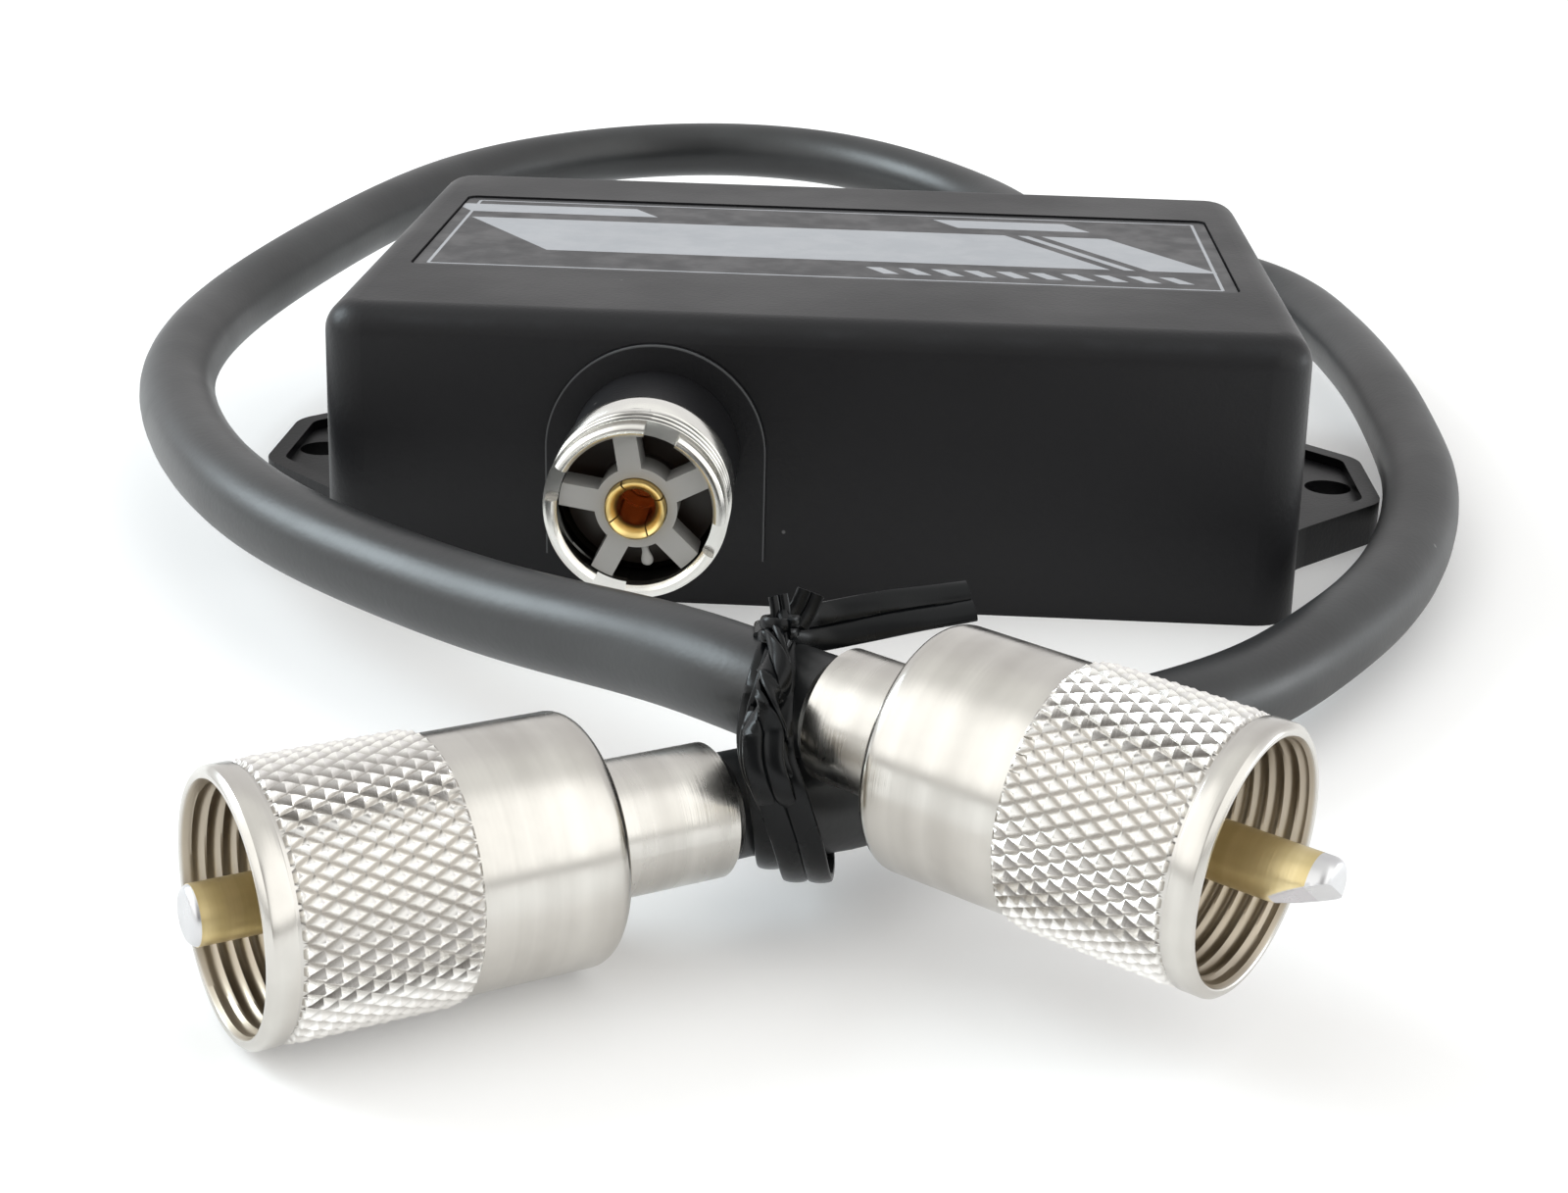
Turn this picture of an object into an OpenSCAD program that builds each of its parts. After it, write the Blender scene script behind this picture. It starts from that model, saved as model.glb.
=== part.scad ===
// Antenna duplexer: a moulded filter box with one antenna socket and two plug leads.
// Origin at the centre of the underside, +Z up, socket towards -Y, leads leaving towards +Y. Millimetres.

/* [Housing] */
// Width of the housing along X at its foot
body_w = 91; // [88:0.5:100]
// Depth of the housing along Y at its foot
body_d = 66; // [62:0.5:80]
// Height of the housing
body_h = 27; // [25:0.5:34]
// Wall thickness of the housing
wall = 2.5; // [1.6:0.1:3.5]
// Radius of the upright corners
corner_r = 4; // [3.5:0.5:7]
// Radius of the rounded top edge
top_r = 3; // [1:0.5:3.4]
// How far the side walls lean out from top to foot
wall_lean = 0.4; // [0.1:0.1:1]

/* [Ears] */
// How far each mounting ear reaches out from the side wall
ear_reach = 11.8; // [9:0.1:16]
// Radius of the ears' outer corners
ear_corner_r = 4; // [2:0.5:5]
// Distance of the corner radius' centre from the ears' middle line
ear_corner_y = 5.6; // [4:0.1:8]
// Radius of the fillet between an ear and the housing's side
ear_fillet_r = 10; // [6:0.5:14]
// Height of the ear's rim
ear_h = 4.2; // [3:0.1:6]
// Width of the ear's rim
ear_rim = 1.8; // [1:0.1:2.5]
// Depth of the hollow inside the rim
ear_sink = 1; // [0.4:0.1:1.6]
// Diameter of the mounting hole
ear_hole_d = 4.8; // [3:0.1:5.5]
// Distance from the side wall to the middle of the mounting hole
ear_hole_out = 7.5; // [6:0.1:8]

/* [Label] */
// Width of the label panel
label_w = 80; // [60:0.5:82]
// Depth of the label panel
label_d = 33; // [20:0.5:40]
// Thickness of the label panel
label_t = 0.4; // [0.2:0.1:0.8]
// How far the label lies below the top face
label_sink = 0.2; // [0.1:0.1:0.5]
// Distance of the label's middle behind the housing's middle
label_back = 2; // [0:0.5:6]

/* [Socket] */
// Place of the socket along X
socket_x = -14.2; // [-22:0.1:22]
// Height of the socket's axis
socket_z = 14.6; // [13:0.1:15]
// Diameter of the moulded boss behind the socket
boss_d = 15.4; // [14.4:0.1:18]
// Length of the moulded boss
boss_len = 9; // [6:0.1:12]
// Radius of the raised arch round the boss
arch_r = 10.1; // [9.4:0.1:11]
// Height of the raised arch above the front face
arch_t = 0.3; // [0.1:0.1:0.6]
// Outside diameter of the socket's threaded barrel
barrel_d = 15.88; // [15.6:0.01:16]
// Length of the threaded barrel
barrel_len = 5.5; // [5:0.1:9]
// Length of the plain collar behind the thread
collar_len = 3; // [2:0.1:5]
// Bore of the barrel
barrel_bore = 13.3; // [12.6:0.1:13.8]
// Diameter of the shank that passes through the boss
shank_d = 12; // [11:0.1:12.6]
// Width of each notch in the barrel's rim
notch_w = 2.9; // [1.5:0.1:3.4]
// Depth of each notch in the barrel's rim
notch_depth = 1.2; // [0.6:0.1:1.8]
// Outside diameter of the centre contact
contact_d = 5.3; // [4.8:0.1:5.8]
// Bore of the centre contact
contact_bore = 4; // [3.98:0.01:4.1]
// Diameter of the insulator's collar round the contact
insulator_collar_d = 7.1; // [6.6:0.1:8]
// Number of spokes in the insulator
spoke_count = 5; // [3:1:8]
// Width of each spoke
spoke_w = 2; // [1:0.1:2.6]

/* [Plugs] */
// Largest diameter of the coupling ring
ring_d = 18.1; // [17.6:0.1:20]
// Length of the coupling ring
ring_len = 24.3; // [23:0.1:27]
// Start of the knurled band behind the ring's mouth
knurl_from = 2.1; // [1.5:0.1:3]
// End of the knurled band behind the ring's mouth
knurl_to = 13.9; // [10:0.1:16]
// Step from the knurled band down to the plain sleeve
sleeve_step = 0.45; // [0.2:0.05:0.7]
// Bore of the coupling ring
ring_bore = 15.94; // [15.8:0.01:16.2]
// Length of the lip that guides the ring on the plug body
lip_len = 5; // [3:0.1:6]
// Whole length of a plug from its tail to the tip of its pin
plug_len = 37.1; // [36:0.1:40]
// Diameter of the plug's tail
tail_d = 9.4; // [9:0.1:11]
// Diameter of the centre pin
pin_d = 3.96; // [3.8:0.01:3.98]
// Length of the pin in front of the plug body
pin_len = 13.5; // [12:0.1:15]
// Length of the solder in the pin's tip
solder_len = 1.6; // [1:0.1:2.5]
// Diameter of the plug body's flange inside the ring
flange_d = 14.4; // [13.6:0.1:15]
// Length of the flange
flange_len = 5.5; // [4:0.1:6.5]
// Where the left ring's rear edge stands, from the plug's tail
ring_back_left = 10.5; // [7:0.1:12.5]
// Where the right ring's rear edge stands, from the plug's tail
ring_back_right = 7.6; // [6:0.1:12.5]

/* [Leads] */
// Diameter of the leads
lead_d = 7.5; // [6.5:0.1:7.7]
// Distance of each lead's exit from the housing's side
exit_inset = 21.5; // [19.5:0.5:23.5]
// Height of the leads' exits
exit_z = 13.5; // [13:0.1:15]
// How far the bushes stand out of the back
bush_out = 9; // [7:0.5:11]
// Diameter of the bush's outer flange
bush_flange_d = 13; // [12:0.5:16]
// Width of the twist tie
tie_w = 3.4; // [2.6:0.1:3.6]
// Thickness of the twist tie
tie_t = 0.7; // [0.5:0.1:0.8]

/* [Inside] */
// Thickness of the base cover
cover_t = 2.2; // [1.6:0.1:3]
// Thickness of the circuit board
board_t = 1.6; // [1:0.1:2]
// Space between the base cover and the board
board_lift = 4; // [3.4:0.1:5]
// Diameter of the cover posts
post_d = 6.8; // [6:0.1:8]
// Mean radius of the filter coils
coil_r = 4; // [3:0.1:4.6]
// Diameter of the coil wire
wire_d = 1; // [0.8:0.1:1.2]
// Turns in each coil
coil_turns = 5; // [3:1:6]
// Diameter of the disc capacitors
cap_d = 6; // [4:0.1:7]

/* [Hidden] */
$fn = 64;

// Clearances
seat = 0.05;
loose = 0.15;
running = 0.08;
floor_gap = 0.1;
overlap = 0.5;

// Housing
front_y = -body_d / 2;
back_y = body_d / 2;
side_x = body_w / 2;
in_x = side_x - wall_lean - wall;
in_y = back_y - wall_lean - wall;
ceiling_z = body_h - wall;
exit_x = side_x - exit_inset;
post_gap = 0.8;
post_x = in_x - post_d / 2 - post_gap;
post_y = in_y - post_d / 2 - post_gap;
screw_d = 2.8;
screw_head_d = 5;
screw_head_h = 1.2;
screw_bite = 7;

// Board
board_z = cover_t + board_lift;
board_top = board_z + board_t;
board_gap = 0.6;
board_x = post_x - post_d / 2 - board_gap;
board_y = post_y - post_d / 2 - board_gap;
standoff_d = 5.2;
standoff_x = board_x - standoff_d / 2 - 1;
standoff_y = 9;
board_screw_d = 2.4;
board_screw_head_h = 1.4;
board_screw_bite = 5;
shield_t = 0.8;
shield_in = 3;
shield_gap = 2;
clamp_t = 1.5;
clamp_len = 5;
clamp_in = 2;
jacket_past = 2;
core_d_in = 4.8;
core_len = 3;
wire_len = 3;
wire_end_d = 1.4;

// Socket, measured out from the front face
lug_t = 0.8;
lug_z = -wall - wall_lean - lug_t;
lug_w = 3;
lug_reach = 12;
lug_d = shank_d + 2.4;
nut_h = 3;
nut_flats = 15;
rim_out = boss_len + collar_len + barrel_len;
cup_floor = boss_len + 1;
arch_foot = 4.5;
arch_seat = 0.8;
shank_in = nut_h - lug_z + 1;
core_d = shank_d - 3.2;
insulator_disc_t = 1.5;
spider_front = rim_out - 1.5;
spider_len = 3.2;
notch_turn = 72;
contact_front = rim_out - 0.6;
contact_back = cup_floor - 4;
contact_plug = 1;
contact_tail_d = 2;
contact_reach = -front_y - board_y + 3;

// Plug frames: left, then right. The frame's Z runs from the tail's end to the pin's tip.
ring_r = ring_d / 2;
plug_turn = [-56.5, 57.5];
plug_tilt = [-1.5, 2.7];
ring_back = [ring_back_left, ring_back_right];
left_knurl_z = ring_back_left + ring_len - knurl_to;
left_tail_z = floor_gap + ring_r * cos(plug_tilt[0]) + left_knurl_z * sin(plug_tilt[0]);
plug_at = [[-3.5, -94.2, left_tail_z], [4, -92.5, 15.4]];
face_z = plug_len - pin_len;
nose_d = flange_d - 1.2;
nose_len = 2;
plug_insulator_d = flange_d - 3;
plug_insulator_len = flange_len - 1;
pin_root = face_z - plug_insulator_len;
pin_root_d = pin_d - 0.7;
pin_floor = 1;
pin_gap = 0.3;

// Leads. Each route starts at its bush and ends at its plug; the points between are set by eye.
lead_sides = 10;
bush_end_y = back_y + bush_out;
bush_wall = 1.2;
back_run = 6;
plug_run = 2.5;
left_points = [[-24, 55, 13], [-21.5, 68, 12], [-14.5, 80, 10], [-3.5, 88.5, 8.5], [10, 92, 7.5],
    [24.5, 91.3, 7], [38.9, 87.5, 6.8], [50.9, 79.5, 6.8], [57.8, 67.2, 6.8], [60.5, 53.5, 6.8],
    [62, 38.9, 6.6], [62.7, 24.6, 6.2], [62.6, 10.4, 5.6], [61.5, -3.9, 5.5], [58.9, -17.2, 5.2],
    [55, -29.7, 5], [50, -41.2, 5.1], [43.8, -51.9, 5.2], [36.7, -61.8, 5.4], [28.1, -70.2, 5.8],
    [19, -77.5, 6.3], [9.5, -84.8, 7], [1.8, -90.7, 7.6]];
right_points = [[24.4, 56, 14], [22.6, 69.9, 14.8], [17.7, 83.4, 15], [8.2, 95.5, 15.9], [-3.7, 104.6, 16.5],
    [-18.6, 108.6, 16.5], [-33.3, 105.9, 16], [-45.7, 96.4, 15.5], [-54.6, 82.1, 15], [-60.8, 65.9, 14],
    [-65.2, 48.7, 13], [-68.5, 30.6, 12], [-69.2, 12.6, 11.5], [-66.8, -4.3, 11.3], [-61.4, -20.3, 11.3],
    [-53.9, -35.3, 11.4], [-44.2, -48.6, 11.5], [-33.1, -59.3, 11.7], [-21.6, -69, 12.3], [-11.5, -78, 13.9],
    [-4, -86.2, 15.4]];

// Coils
coil_pitch = wire_d + 0.8;
coil_rings = 8;
coil_z = board_top + coil_r + wire_d / 2;
coil_at_y = [-8, 8];
coil_at_x = 13;
cap_t = 2.4;
cap_leg = 0.8;
cap_x = 5;
cap_at_y = [-14, 0, 14];

// Twist tie: a strip wound twice round both leads where they cross, with its tail lying to the right
tie_at = [0.8, -90];
tie_mid_z = 11.7;
tie_half_y = 7.1;
tie_half_z = 8.2;
tie_turns = 2;
tie_steps = 48;
tie_layer = tie_t + 0.45;
tie_slant = 1.3;
tie_shear = 0.7;
tie_square = 0.75;
tail_points = [[0.8, -88.6, 22.1], [2.6, -87.7, 21.4], [5, -87, 20.9], [9, -86, 21], [13, -85, 21.4]];
tail_across = [[0.9, 0.2, 0.4], [0.6, 0.3, 0.75], [0.3, 0.3, 0.9], [0.1, 0.3, 0.95], [0.1, 0.3, 0.95]];

// Vector and sweep helpers
function unit(v) = v / norm(v);
function heading(turn, tilt) = [sin(turn) * cos(tilt), -cos(turn) * cos(tilt), -sin(tilt)];
function tangent(p, i) = unit(p[min(i + 1, len(p) - 1)] - p[max(i - 1, 0)]);
function tube_ring(p, i, r, sides, ref) =
    let (t = tangent(p, i), s = unit(cross(ref, t)), u = cross(t, s))
    [for (k = [0:sides - 1]) p[i] + r * (cos(360 * k / sides) * s + sin(360 * k / sides) * u)];
function skin_faces(rings, sides) = concat(
    [for (i = [0:rings - 2], k = [0:sides - 1])
        [i * sides + k, i * sides + (k + 1) % sides, (i + 1) * sides + k]],
    [for (i = [0:rings - 2], k = [0:sides - 1])
        [i * sides + (k + 1) % sides, (i + 1) * sides + (k + 1) % sides, (i + 1) * sides + k]],
    [for (k = [1:sides - 2]) [0, k + 1, k]],
    [for (k = [1:sides - 2]) let (b = (rings - 1) * sides) [b, b + k, b + k + 1]]);
function lead_route(side, points) =
    let (x = exit_x * (side == 0 ? -1 : 1), out = -heading(plug_turn[side], plug_tilt[side]))
    concat([[x, bush_end_y, exit_z], [x, bush_end_y + back_run, exit_z]], points,
        [plug_at[side] + out * plug_run, plug_at[side]]);
function coil_route(turns) = [for (i = [0:turns * coil_rings]) let (a = 360 * i / coil_rings)
    [coil_pitch * (i / coil_rings - turns / 2), coil_r * sin(a), -coil_r * cos(a)]];

// A round tube swept along a route, with its ends square to the route
module tube(route, d, sides, ref = [0, 0, 1]) {
    points = [for (i = [0:len(route) - 1]) each tube_ring(route, i, d / 2, sides, ref)];
    polyhedron(points, skin_faces(len(route), sides), convexity = 10);
}

module along_plug(side) {
    translate(plug_at[side]) rotate([90 + plug_tilt[side], 0, plug_turn[side]]) children();
}

module along_socket() {
    translate([socket_x, front_y, socket_z]) rotate([90, 0, 0]) children();
}

module along_exit(side) {
    translate([exit_x * (side == 0 ? -1 : 1), back_y, exit_z]) rotate([-90, 0, 0]) children();
}

module at_corners(x, y) {
    for (sx = [-1, 1], sy = [-1, 1]) translate([sx * x, sy * y, 0]) children();
}

module rounded_plate(w, d, h, r) {
    linear_extrude(h) {
        square([w - 2 * r, d], center = true);
        square([w, d - 2 * r], center = true);
        at_corners(w / 2 - r, d / 2 - r) circle(r);
    }
}

// Half section of the leaning wall with its rounded top edge, from a corner's axis outwards
module wall_section() {
    polygon([[0, 0], [corner_r + wall_lean, 0], [corner_r, body_h - top_r], [0, body_h - top_r]]);
    square([corner_r - top_r, body_h]);
    translate([corner_r - top_r, body_h - top_r]) circle(top_r);
}

module wall_solid(length) {
    rotate([90, 0, 0]) linear_extrude(length, center = true) intersection() {
        wall_section();
        square([corner_r + wall_lean, body_h]);
    }
}

module moulded_block() {
    x = side_x - corner_r - wall_lean;
    y = back_y - corner_r - wall_lean;
    at_corners(x, y) rotate_extrude() intersection() {
        wall_section();
        square([corner_r + wall_lean, body_h]);
    }
    for (turn = [0, 180]) {
        rotate([0, 0, turn]) translate([x, 0, 0]) wall_solid(2 * y);
        rotate([0, 0, turn + 90]) translate([y, 0, 0]) wall_solid(2 * x);
    }
    translate([-x, -y, 0]) cube([2 * x, 2 * y, body_h]);
}

// Ear seen from above: rounded corners, sides that slant at 45 degrees, and a fillet at the housing's side
module ear_outline(inset, from_x) {
    corner_x = side_x + ear_reach - ear_corner_r;
    slant_out = corner_x + ear_corner_y + (ear_corner_r - inset) * sqrt(2);
    turn_in = (ear_corner_r - inset) * sqrt(0.5);
    for (k = [-1, 1]) translate([corner_x, k * ear_corner_y]) circle(ear_corner_r - inset);
    polygon([[from_x, from_x - slant_out], [corner_x + turn_in, -ear_corner_y - turn_in],
        [corner_x + ear_corner_r - inset, -ear_corner_y], [corner_x + ear_corner_r - inset, ear_corner_y],
        [corner_x + turn_in, ear_corner_y + turn_in], [from_x, slant_out - from_x]]);
}

module ear_fillets(from_x) {
    slant_out = side_x + ear_reach - ear_corner_r + ear_corner_y + ear_corner_r * sqrt(2);
    far_y = slant_out - side_x + ear_fillet_r * (sqrt(2) - 1);
    touch = ear_fillet_r * sqrt(0.5);
    difference() {
        polygon([[from_x, -far_y], [side_x, -far_y], [side_x + ear_fillet_r - touch, touch - far_y],
            [side_x + ear_fillet_r - touch, far_y - touch], [side_x, far_y], [from_x, far_y]]);
        for (k = [-1, 1]) translate([side_x + ear_fillet_r, k * far_y]) circle(ear_fillet_r, $fn = 128);
    }
}

module ear() {
    difference() {
        linear_extrude(ear_h) {
            ear_outline(0, side_x - wall_lean - overlap);
            ear_fillets(side_x - wall_lean - overlap);
        }
        translate([0, 0, ear_h - ear_sink]) linear_extrude(ear_sink + overlap)
            ear_outline(ear_rim, side_x + ear_rim);
        translate([side_x + ear_hole_out, 0, -overlap]) cylinder(h = ear_h + 2 * overlap, d = ear_hole_d);
    }
}

// Outline of the arch round the boss: round on top, with straight legs down to its foot
module arch_outline(grow) {
    circle(arch_r + grow, $fn = 128);
    translate([-arch_r - grow, arch_foot - socket_z - grow])
        square([2 * (arch_r + grow), socket_z - arch_foot + grow]);
}

module screw_hole(z, depth, d) {
    translate([0, 0, z - overlap]) cylinder(h = depth + overlap, d = d);
}

module housing() {
    color([0.10, 0.10, 0.11]) difference() {
        union() {
            difference() {
                union() {
                    moulded_block();
                    for (turn = [0, 180]) rotate([0, 0, turn]) ear();
                }
                translate([0, 0, -overlap])
                    rounded_plate(2 * in_x, 2 * in_y, ceiling_z + overlap, corner_r - wall / 2);
            }
            at_corners(post_x, post_y)
                translate([0, 0, cover_t]) cylinder(h = ceiling_z - cover_t + overlap, d = post_d);
            at_corners(standoff_x, standoff_y)
                translate([0, 0, board_top]) cylinder(h = ceiling_z - board_top + overlap, d = standoff_d);
        }
        at_corners(post_x, post_y) screw_hole(cover_t, screw_bite, screw_d + 2 * seat);
        at_corners(standoff_x, standoff_y) screw_hole(board_top, board_screw_bite, board_screw_d + 2 * seat);
        along_socket() translate([0, 0, -2 * wall]) cylinder(h = 3 * wall, d = shank_d + 2 * seat);
        along_socket() translate([0, 0, -arch_seat]) linear_extrude(wall) arch_outline(seat);
        for (side = [0, 1]) along_exit(side)
            translate([0, 0, -2 * wall]) cylinder(h = 3 * wall, d = lead_d + 2 * bush_wall + 2 * seat);
        translate([0, label_back, body_h - label_t - label_sink])
            rounded_plate(label_w + 2 * loose, label_d + 2 * loose, label_t + label_sink + overlap, 1);
    }
}

// Moulded boss on its arch, let into the front wall
module socket_boss() {
    color([0.10, 0.10, 0.11]) along_socket() difference() {
        union() {
            translate([0, 0, -arch_seat]) linear_extrude(arch_seat + arch_t) arch_outline(0);
            cylinder(h = boss_len, d = boss_d);
        }
        translate([0, 0, -wall]) cylinder(h = boss_len + 2 * wall, d = shank_d + 2 * seat);
    }
}

module base_cover() {
    color([0.12, 0.12, 0.13]) difference() {
        rounded_plate(2 * (in_x - loose), 2 * (in_y - loose), cover_t, corner_r - wall / 2);
        at_corners(post_x, post_y) screw_hole(0, cover_t + overlap, screw_d + 2 * loose);
        at_corners(post_x, post_y) screw_hole(0, screw_head_h, screw_head_d + 2 * loose);
    }
}

module cover_screws() {
    color([0.45, 0.45, 0.47]) at_corners(post_x, post_y) {
        translate([0, 0, floor_gap]) cylinder(h = screw_head_h - floor_gap, d = screw_head_d);
        translate([0, 0, screw_head_h - floor_gap])
            cylinder(h = cover_t + screw_bite - screw_head_h, d = screw_d);
    }
}

module label_plate() {
    color([0.78, 0.79, 0.81]) translate([0, label_back, body_h - label_t - label_sink])
        rounded_plate(label_w, label_d, label_t, 1);
}

module socket_shell() {
    color([0.80, 0.80, 0.79]) along_socket() difference() {
        union() {
            translate([0, 0, boss_len]) cylinder(h = collar_len + barrel_len, d = barrel_d);
            translate([0, 0, -shank_in]) cylinder(h = shank_in + boss_len + overlap, d = shank_d);
        }
        translate([0, 0, cup_floor]) cylinder(h = rim_out, d = barrel_bore);
        translate([0, 0, -shank_in - overlap]) cylinder(h = shank_in + cup_floor + 2 * overlap, d = core_d);
        for (k = [0:3]) rotate([0, 0, notch_turn + 90 * k])
            translate([core_d / 2, -notch_w / 2, rim_out - notch_depth])
                cube([barrel_d, notch_w, notch_depth + overlap]);
    }
}

module socket_insulator() {
    bore = contact_d + 2 * seat;
    color([0.88, 0.88, 0.85]) along_socket() difference() {
        union() {
            translate([0, 0, -shank_in]) cylinder(h = shank_in + cup_floor + overlap, d = core_d - 2 * seat);
            translate([0, 0, cup_floor]) cylinder(h = insulator_disc_t, d = barrel_bore - 2 * seat);
            translate([0, 0, cup_floor]) cylinder(h = spider_front - cup_floor, d = insulator_collar_d);
            intersection() {
                translate([0, 0, spider_front - spider_len])
                    cylinder(h = spider_len, d = barrel_bore - 2 * seat);
                for (k = [0:spoke_count - 1]) rotate([0, 0, 27 + 360 * k / spoke_count])
                    translate([contact_d / 2, -spoke_w / 2, cup_floor]) cube([barrel_bore, spoke_w, rim_out]);
            }
        }
        translate([0, 0, contact_back]) cylinder(h = rim_out, d = bore);
        translate([0, 0, -shank_in - overlap])
            cylinder(h = shank_in + contact_back + 2 * overlap, d = contact_tail_d + 2 * seat);
    }
}

module socket_contact() {
    color([0.83, 0.66, 0.28]) along_socket() difference() {
        translate([0, 0, contact_back]) cylinder(h = contact_front - contact_back, d = contact_d);
        translate([0, 0, contact_back - overlap]) cylinder(h = rim_out, d = contact_bore);
    }
}

// Wire soldered into the back of the contact and bent down to the board
module contact_wire() {
    color([0.74, 0.50, 0.30]) {
        along_socket() {
            translate([0, 0, contact_back]) cylinder(h = contact_plug, d = contact_bore - 2 * seat);
            translate([0, 0, -contact_reach])
                cylinder(h = contact_reach + contact_back + overlap, d = contact_tail_d);
        }
        translate([socket_x, front_y + contact_reach, board_top])
            cylinder(h = socket_z - board_top, d = contact_tail_d);
    }
}

module earth_washer() {
    color([0.75, 0.72, 0.60]) along_socket() translate([0, 0, lug_z]) linear_extrude(lug_t) difference() {
        union() {
            circle(d = lug_d);
            translate([-lug_reach, -lug_w / 2]) square([lug_reach - shank_d / 2 + overlap, lug_w]);
        }
        circle(d = shank_d + 2 * seat);
    }
}

module socket_nut() {
    color([0.78, 0.78, 0.77]) along_socket() translate([0, 0, lug_z - nut_h]) difference() {
        cylinder(h = nut_h, d = nut_flats / cos(30), $fn = 6);
        translate([0, 0, -overlap]) cylinder(h = nut_h + 2 * overlap, d = shank_d + 2 * seat);
    }
}

module circuit_board() {
    color([0.16, 0.34, 0.20]) difference() {
        translate([0, 0, board_z]) rounded_plate(2 * board_x, 2 * board_y, board_t, 1);
        at_corners(standoff_x, standoff_y) screw_hole(board_z, board_t + overlap, board_screw_d + 2 * loose);
    }
}

module board_screws() {
    color([0.72, 0.72, 0.70]) at_corners(standoff_x, standoff_y) {
        translate([0, 0, board_z - board_screw_head_h])
            cylinder(h = board_screw_head_h, d = 2 * board_screw_d);
        translate([0, 0, board_z - overlap]) cylinder(h = board_t + board_screw_bite, d = board_screw_d);
    }
}

module shield_wall() {
    color([0.74, 0.74, 0.72]) translate([-shield_t / 2, shield_in - board_y, board_top])
        cube([shield_t, 2 * (board_y - shield_in), ceiling_z - board_top - shield_gap]);
}

module coils(side) {
    for (y = coil_at_y) translate([side * coil_at_x, y, coil_z])
        tube(coil_route(coil_turns), wire_d, 6, [1, 0, 0]);
}

module low_pass_coils() {
    color([0.72, 0.38, 0.20]) coils(-1);
}

module high_pass_coils() {
    color([0.72, 0.38, 0.20]) coils(1);
}

module capacitors() {
    color([0.60, 0.42, 0.22]) for (x = [-cap_x, cap_x], y = cap_at_y) translate([x, y, board_top]) {
        translate([-cap_t / 2, 0, cap_d / 2 + cap_leg]) rotate([0, 90, 0]) cylinder(h = cap_t, d = cap_d);
        for (leg = [-1, 1]) translate([0, leg * cap_d / 4, 0]) cylinder(h = cap_d / 2, d = 0.7);
    }
}

module lead_clamps() {
    color([0.74, 0.74, 0.72]) for (x = [-exit_x, exit_x]) difference() {
        translate([x - lead_d / 2 - clamp_t, board_y - clamp_in - clamp_len, board_top])
            cube([lead_d + 2 * clamp_t, clamp_len, exit_z - board_top + lead_d / 2 + clamp_t]);
        translate([x, board_y, exit_z]) rotate([90, 0, 0])
            cylinder(h = 2 * (clamp_in + clamp_len), d = lead_d + 2 * seat);
    }
}

// Rubber bush: flange outside the wall, tapered neck, and a retaining flange inside
module bush(side) {
    hole_r = lead_d / 2 + bush_wall;
    inner_y = wall + wall_lean;
    color([0.09, 0.09, 0.10]) along_exit(side) rotate_extrude() polygon([
        [lead_d / 2 + seat, -inner_y - 1.5], [bush_flange_d / 2 - 0.5, -inner_y - 1.5],
        [bush_flange_d / 2 - 0.5, -inner_y], [hole_r, -inner_y], [hole_r, 0], [bush_flange_d / 2, 0],
        [bush_flange_d / 2, 1.6], [hole_r + 0.8, 2], [hole_r - 0.1, bush_out - 0.4], [hole_r - 0.5, bush_out],
        [lead_d / 2 + seat, bush_out]]);
}

module bush_left() {
    bush(0);
}

module bush_right() {
    bush(1);
}

// End of a lead inside the housing: jacket, bared dielectric, then the wire bent down to the board
module lead_end(side) {
    jacket_in = back_y - board_y + clamp_in + clamp_len + jacket_past;
    wire_in = jacket_in + core_len + wire_len;
    color([0.85, 0.84, 0.80]) {
        along_exit(side) {
            translate([0, 0, -jacket_in]) cylinder(h = jacket_in + bush_out, d = lead_d);
            translate([0, 0, -jacket_in - core_len]) cylinder(h = core_len + overlap, d = core_d_in);
            translate([0, 0, -wire_in]) cylinder(h = wire_len + overlap, d = wire_end_d);
        }
        translate([exit_x * (side == 0 ? -1 : 1), back_y - wire_in, board_top])
            cylinder(h = exit_z - board_top, d = wire_end_d);
    }
}

module lead_end_left() {
    lead_end(0);
}

module lead_end_right() {
    lead_end(1);
}

module lead_left() {
    color([0.17, 0.18, 0.19]) tube(lead_route(0, left_points), lead_d, lead_sides);
}

module lead_right() {
    color([0.17, 0.18, 0.19]) tube(lead_route(1, right_points), lead_d, lead_sides);
}

// Nickel plug body: tail, neck and the flange that holds the insulator
module plug_body(side) {
    color([0.76, 0.74, 0.71]) along_plug(side) difference() {
        rotate_extrude() polygon([
            [0, 0], [tail_d / 2 - 0.8, 0], [tail_d / 2, 0.8], [tail_d / 2, face_z - flange_len],
            [flange_d / 2, face_z - flange_len], [flange_d / 2, face_z - nose_len],
            [nose_d / 2, face_z - nose_len + (flange_d - nose_d) / 2], [nose_d / 2, face_z], [0, face_z]]);
        translate([0, 0, pin_root]) cylinder(h = plug_insulator_len + overlap, d = plug_insulator_d);
    }
}

module plug_body_left() {
    plug_body(0);
}

module plug_body_right() {
    plug_body(1);
}

module plug_insulator(side) {
    color([0.80, 0.77, 0.70]) along_plug(side) difference() {
        translate([0, 0, pin_root]) cylinder(h = plug_insulator_len, d = plug_insulator_d - 2 * seat);
        translate([0, 0, pin_root + pin_floor])
            cylinder(h = plug_insulator_len + overlap, d = pin_root_d + 2 * seat);
    }
}

module plug_insulator_left() {
    plug_insulator(0);
}

module plug_insulator_right() {
    plug_insulator(1);
}

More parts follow.
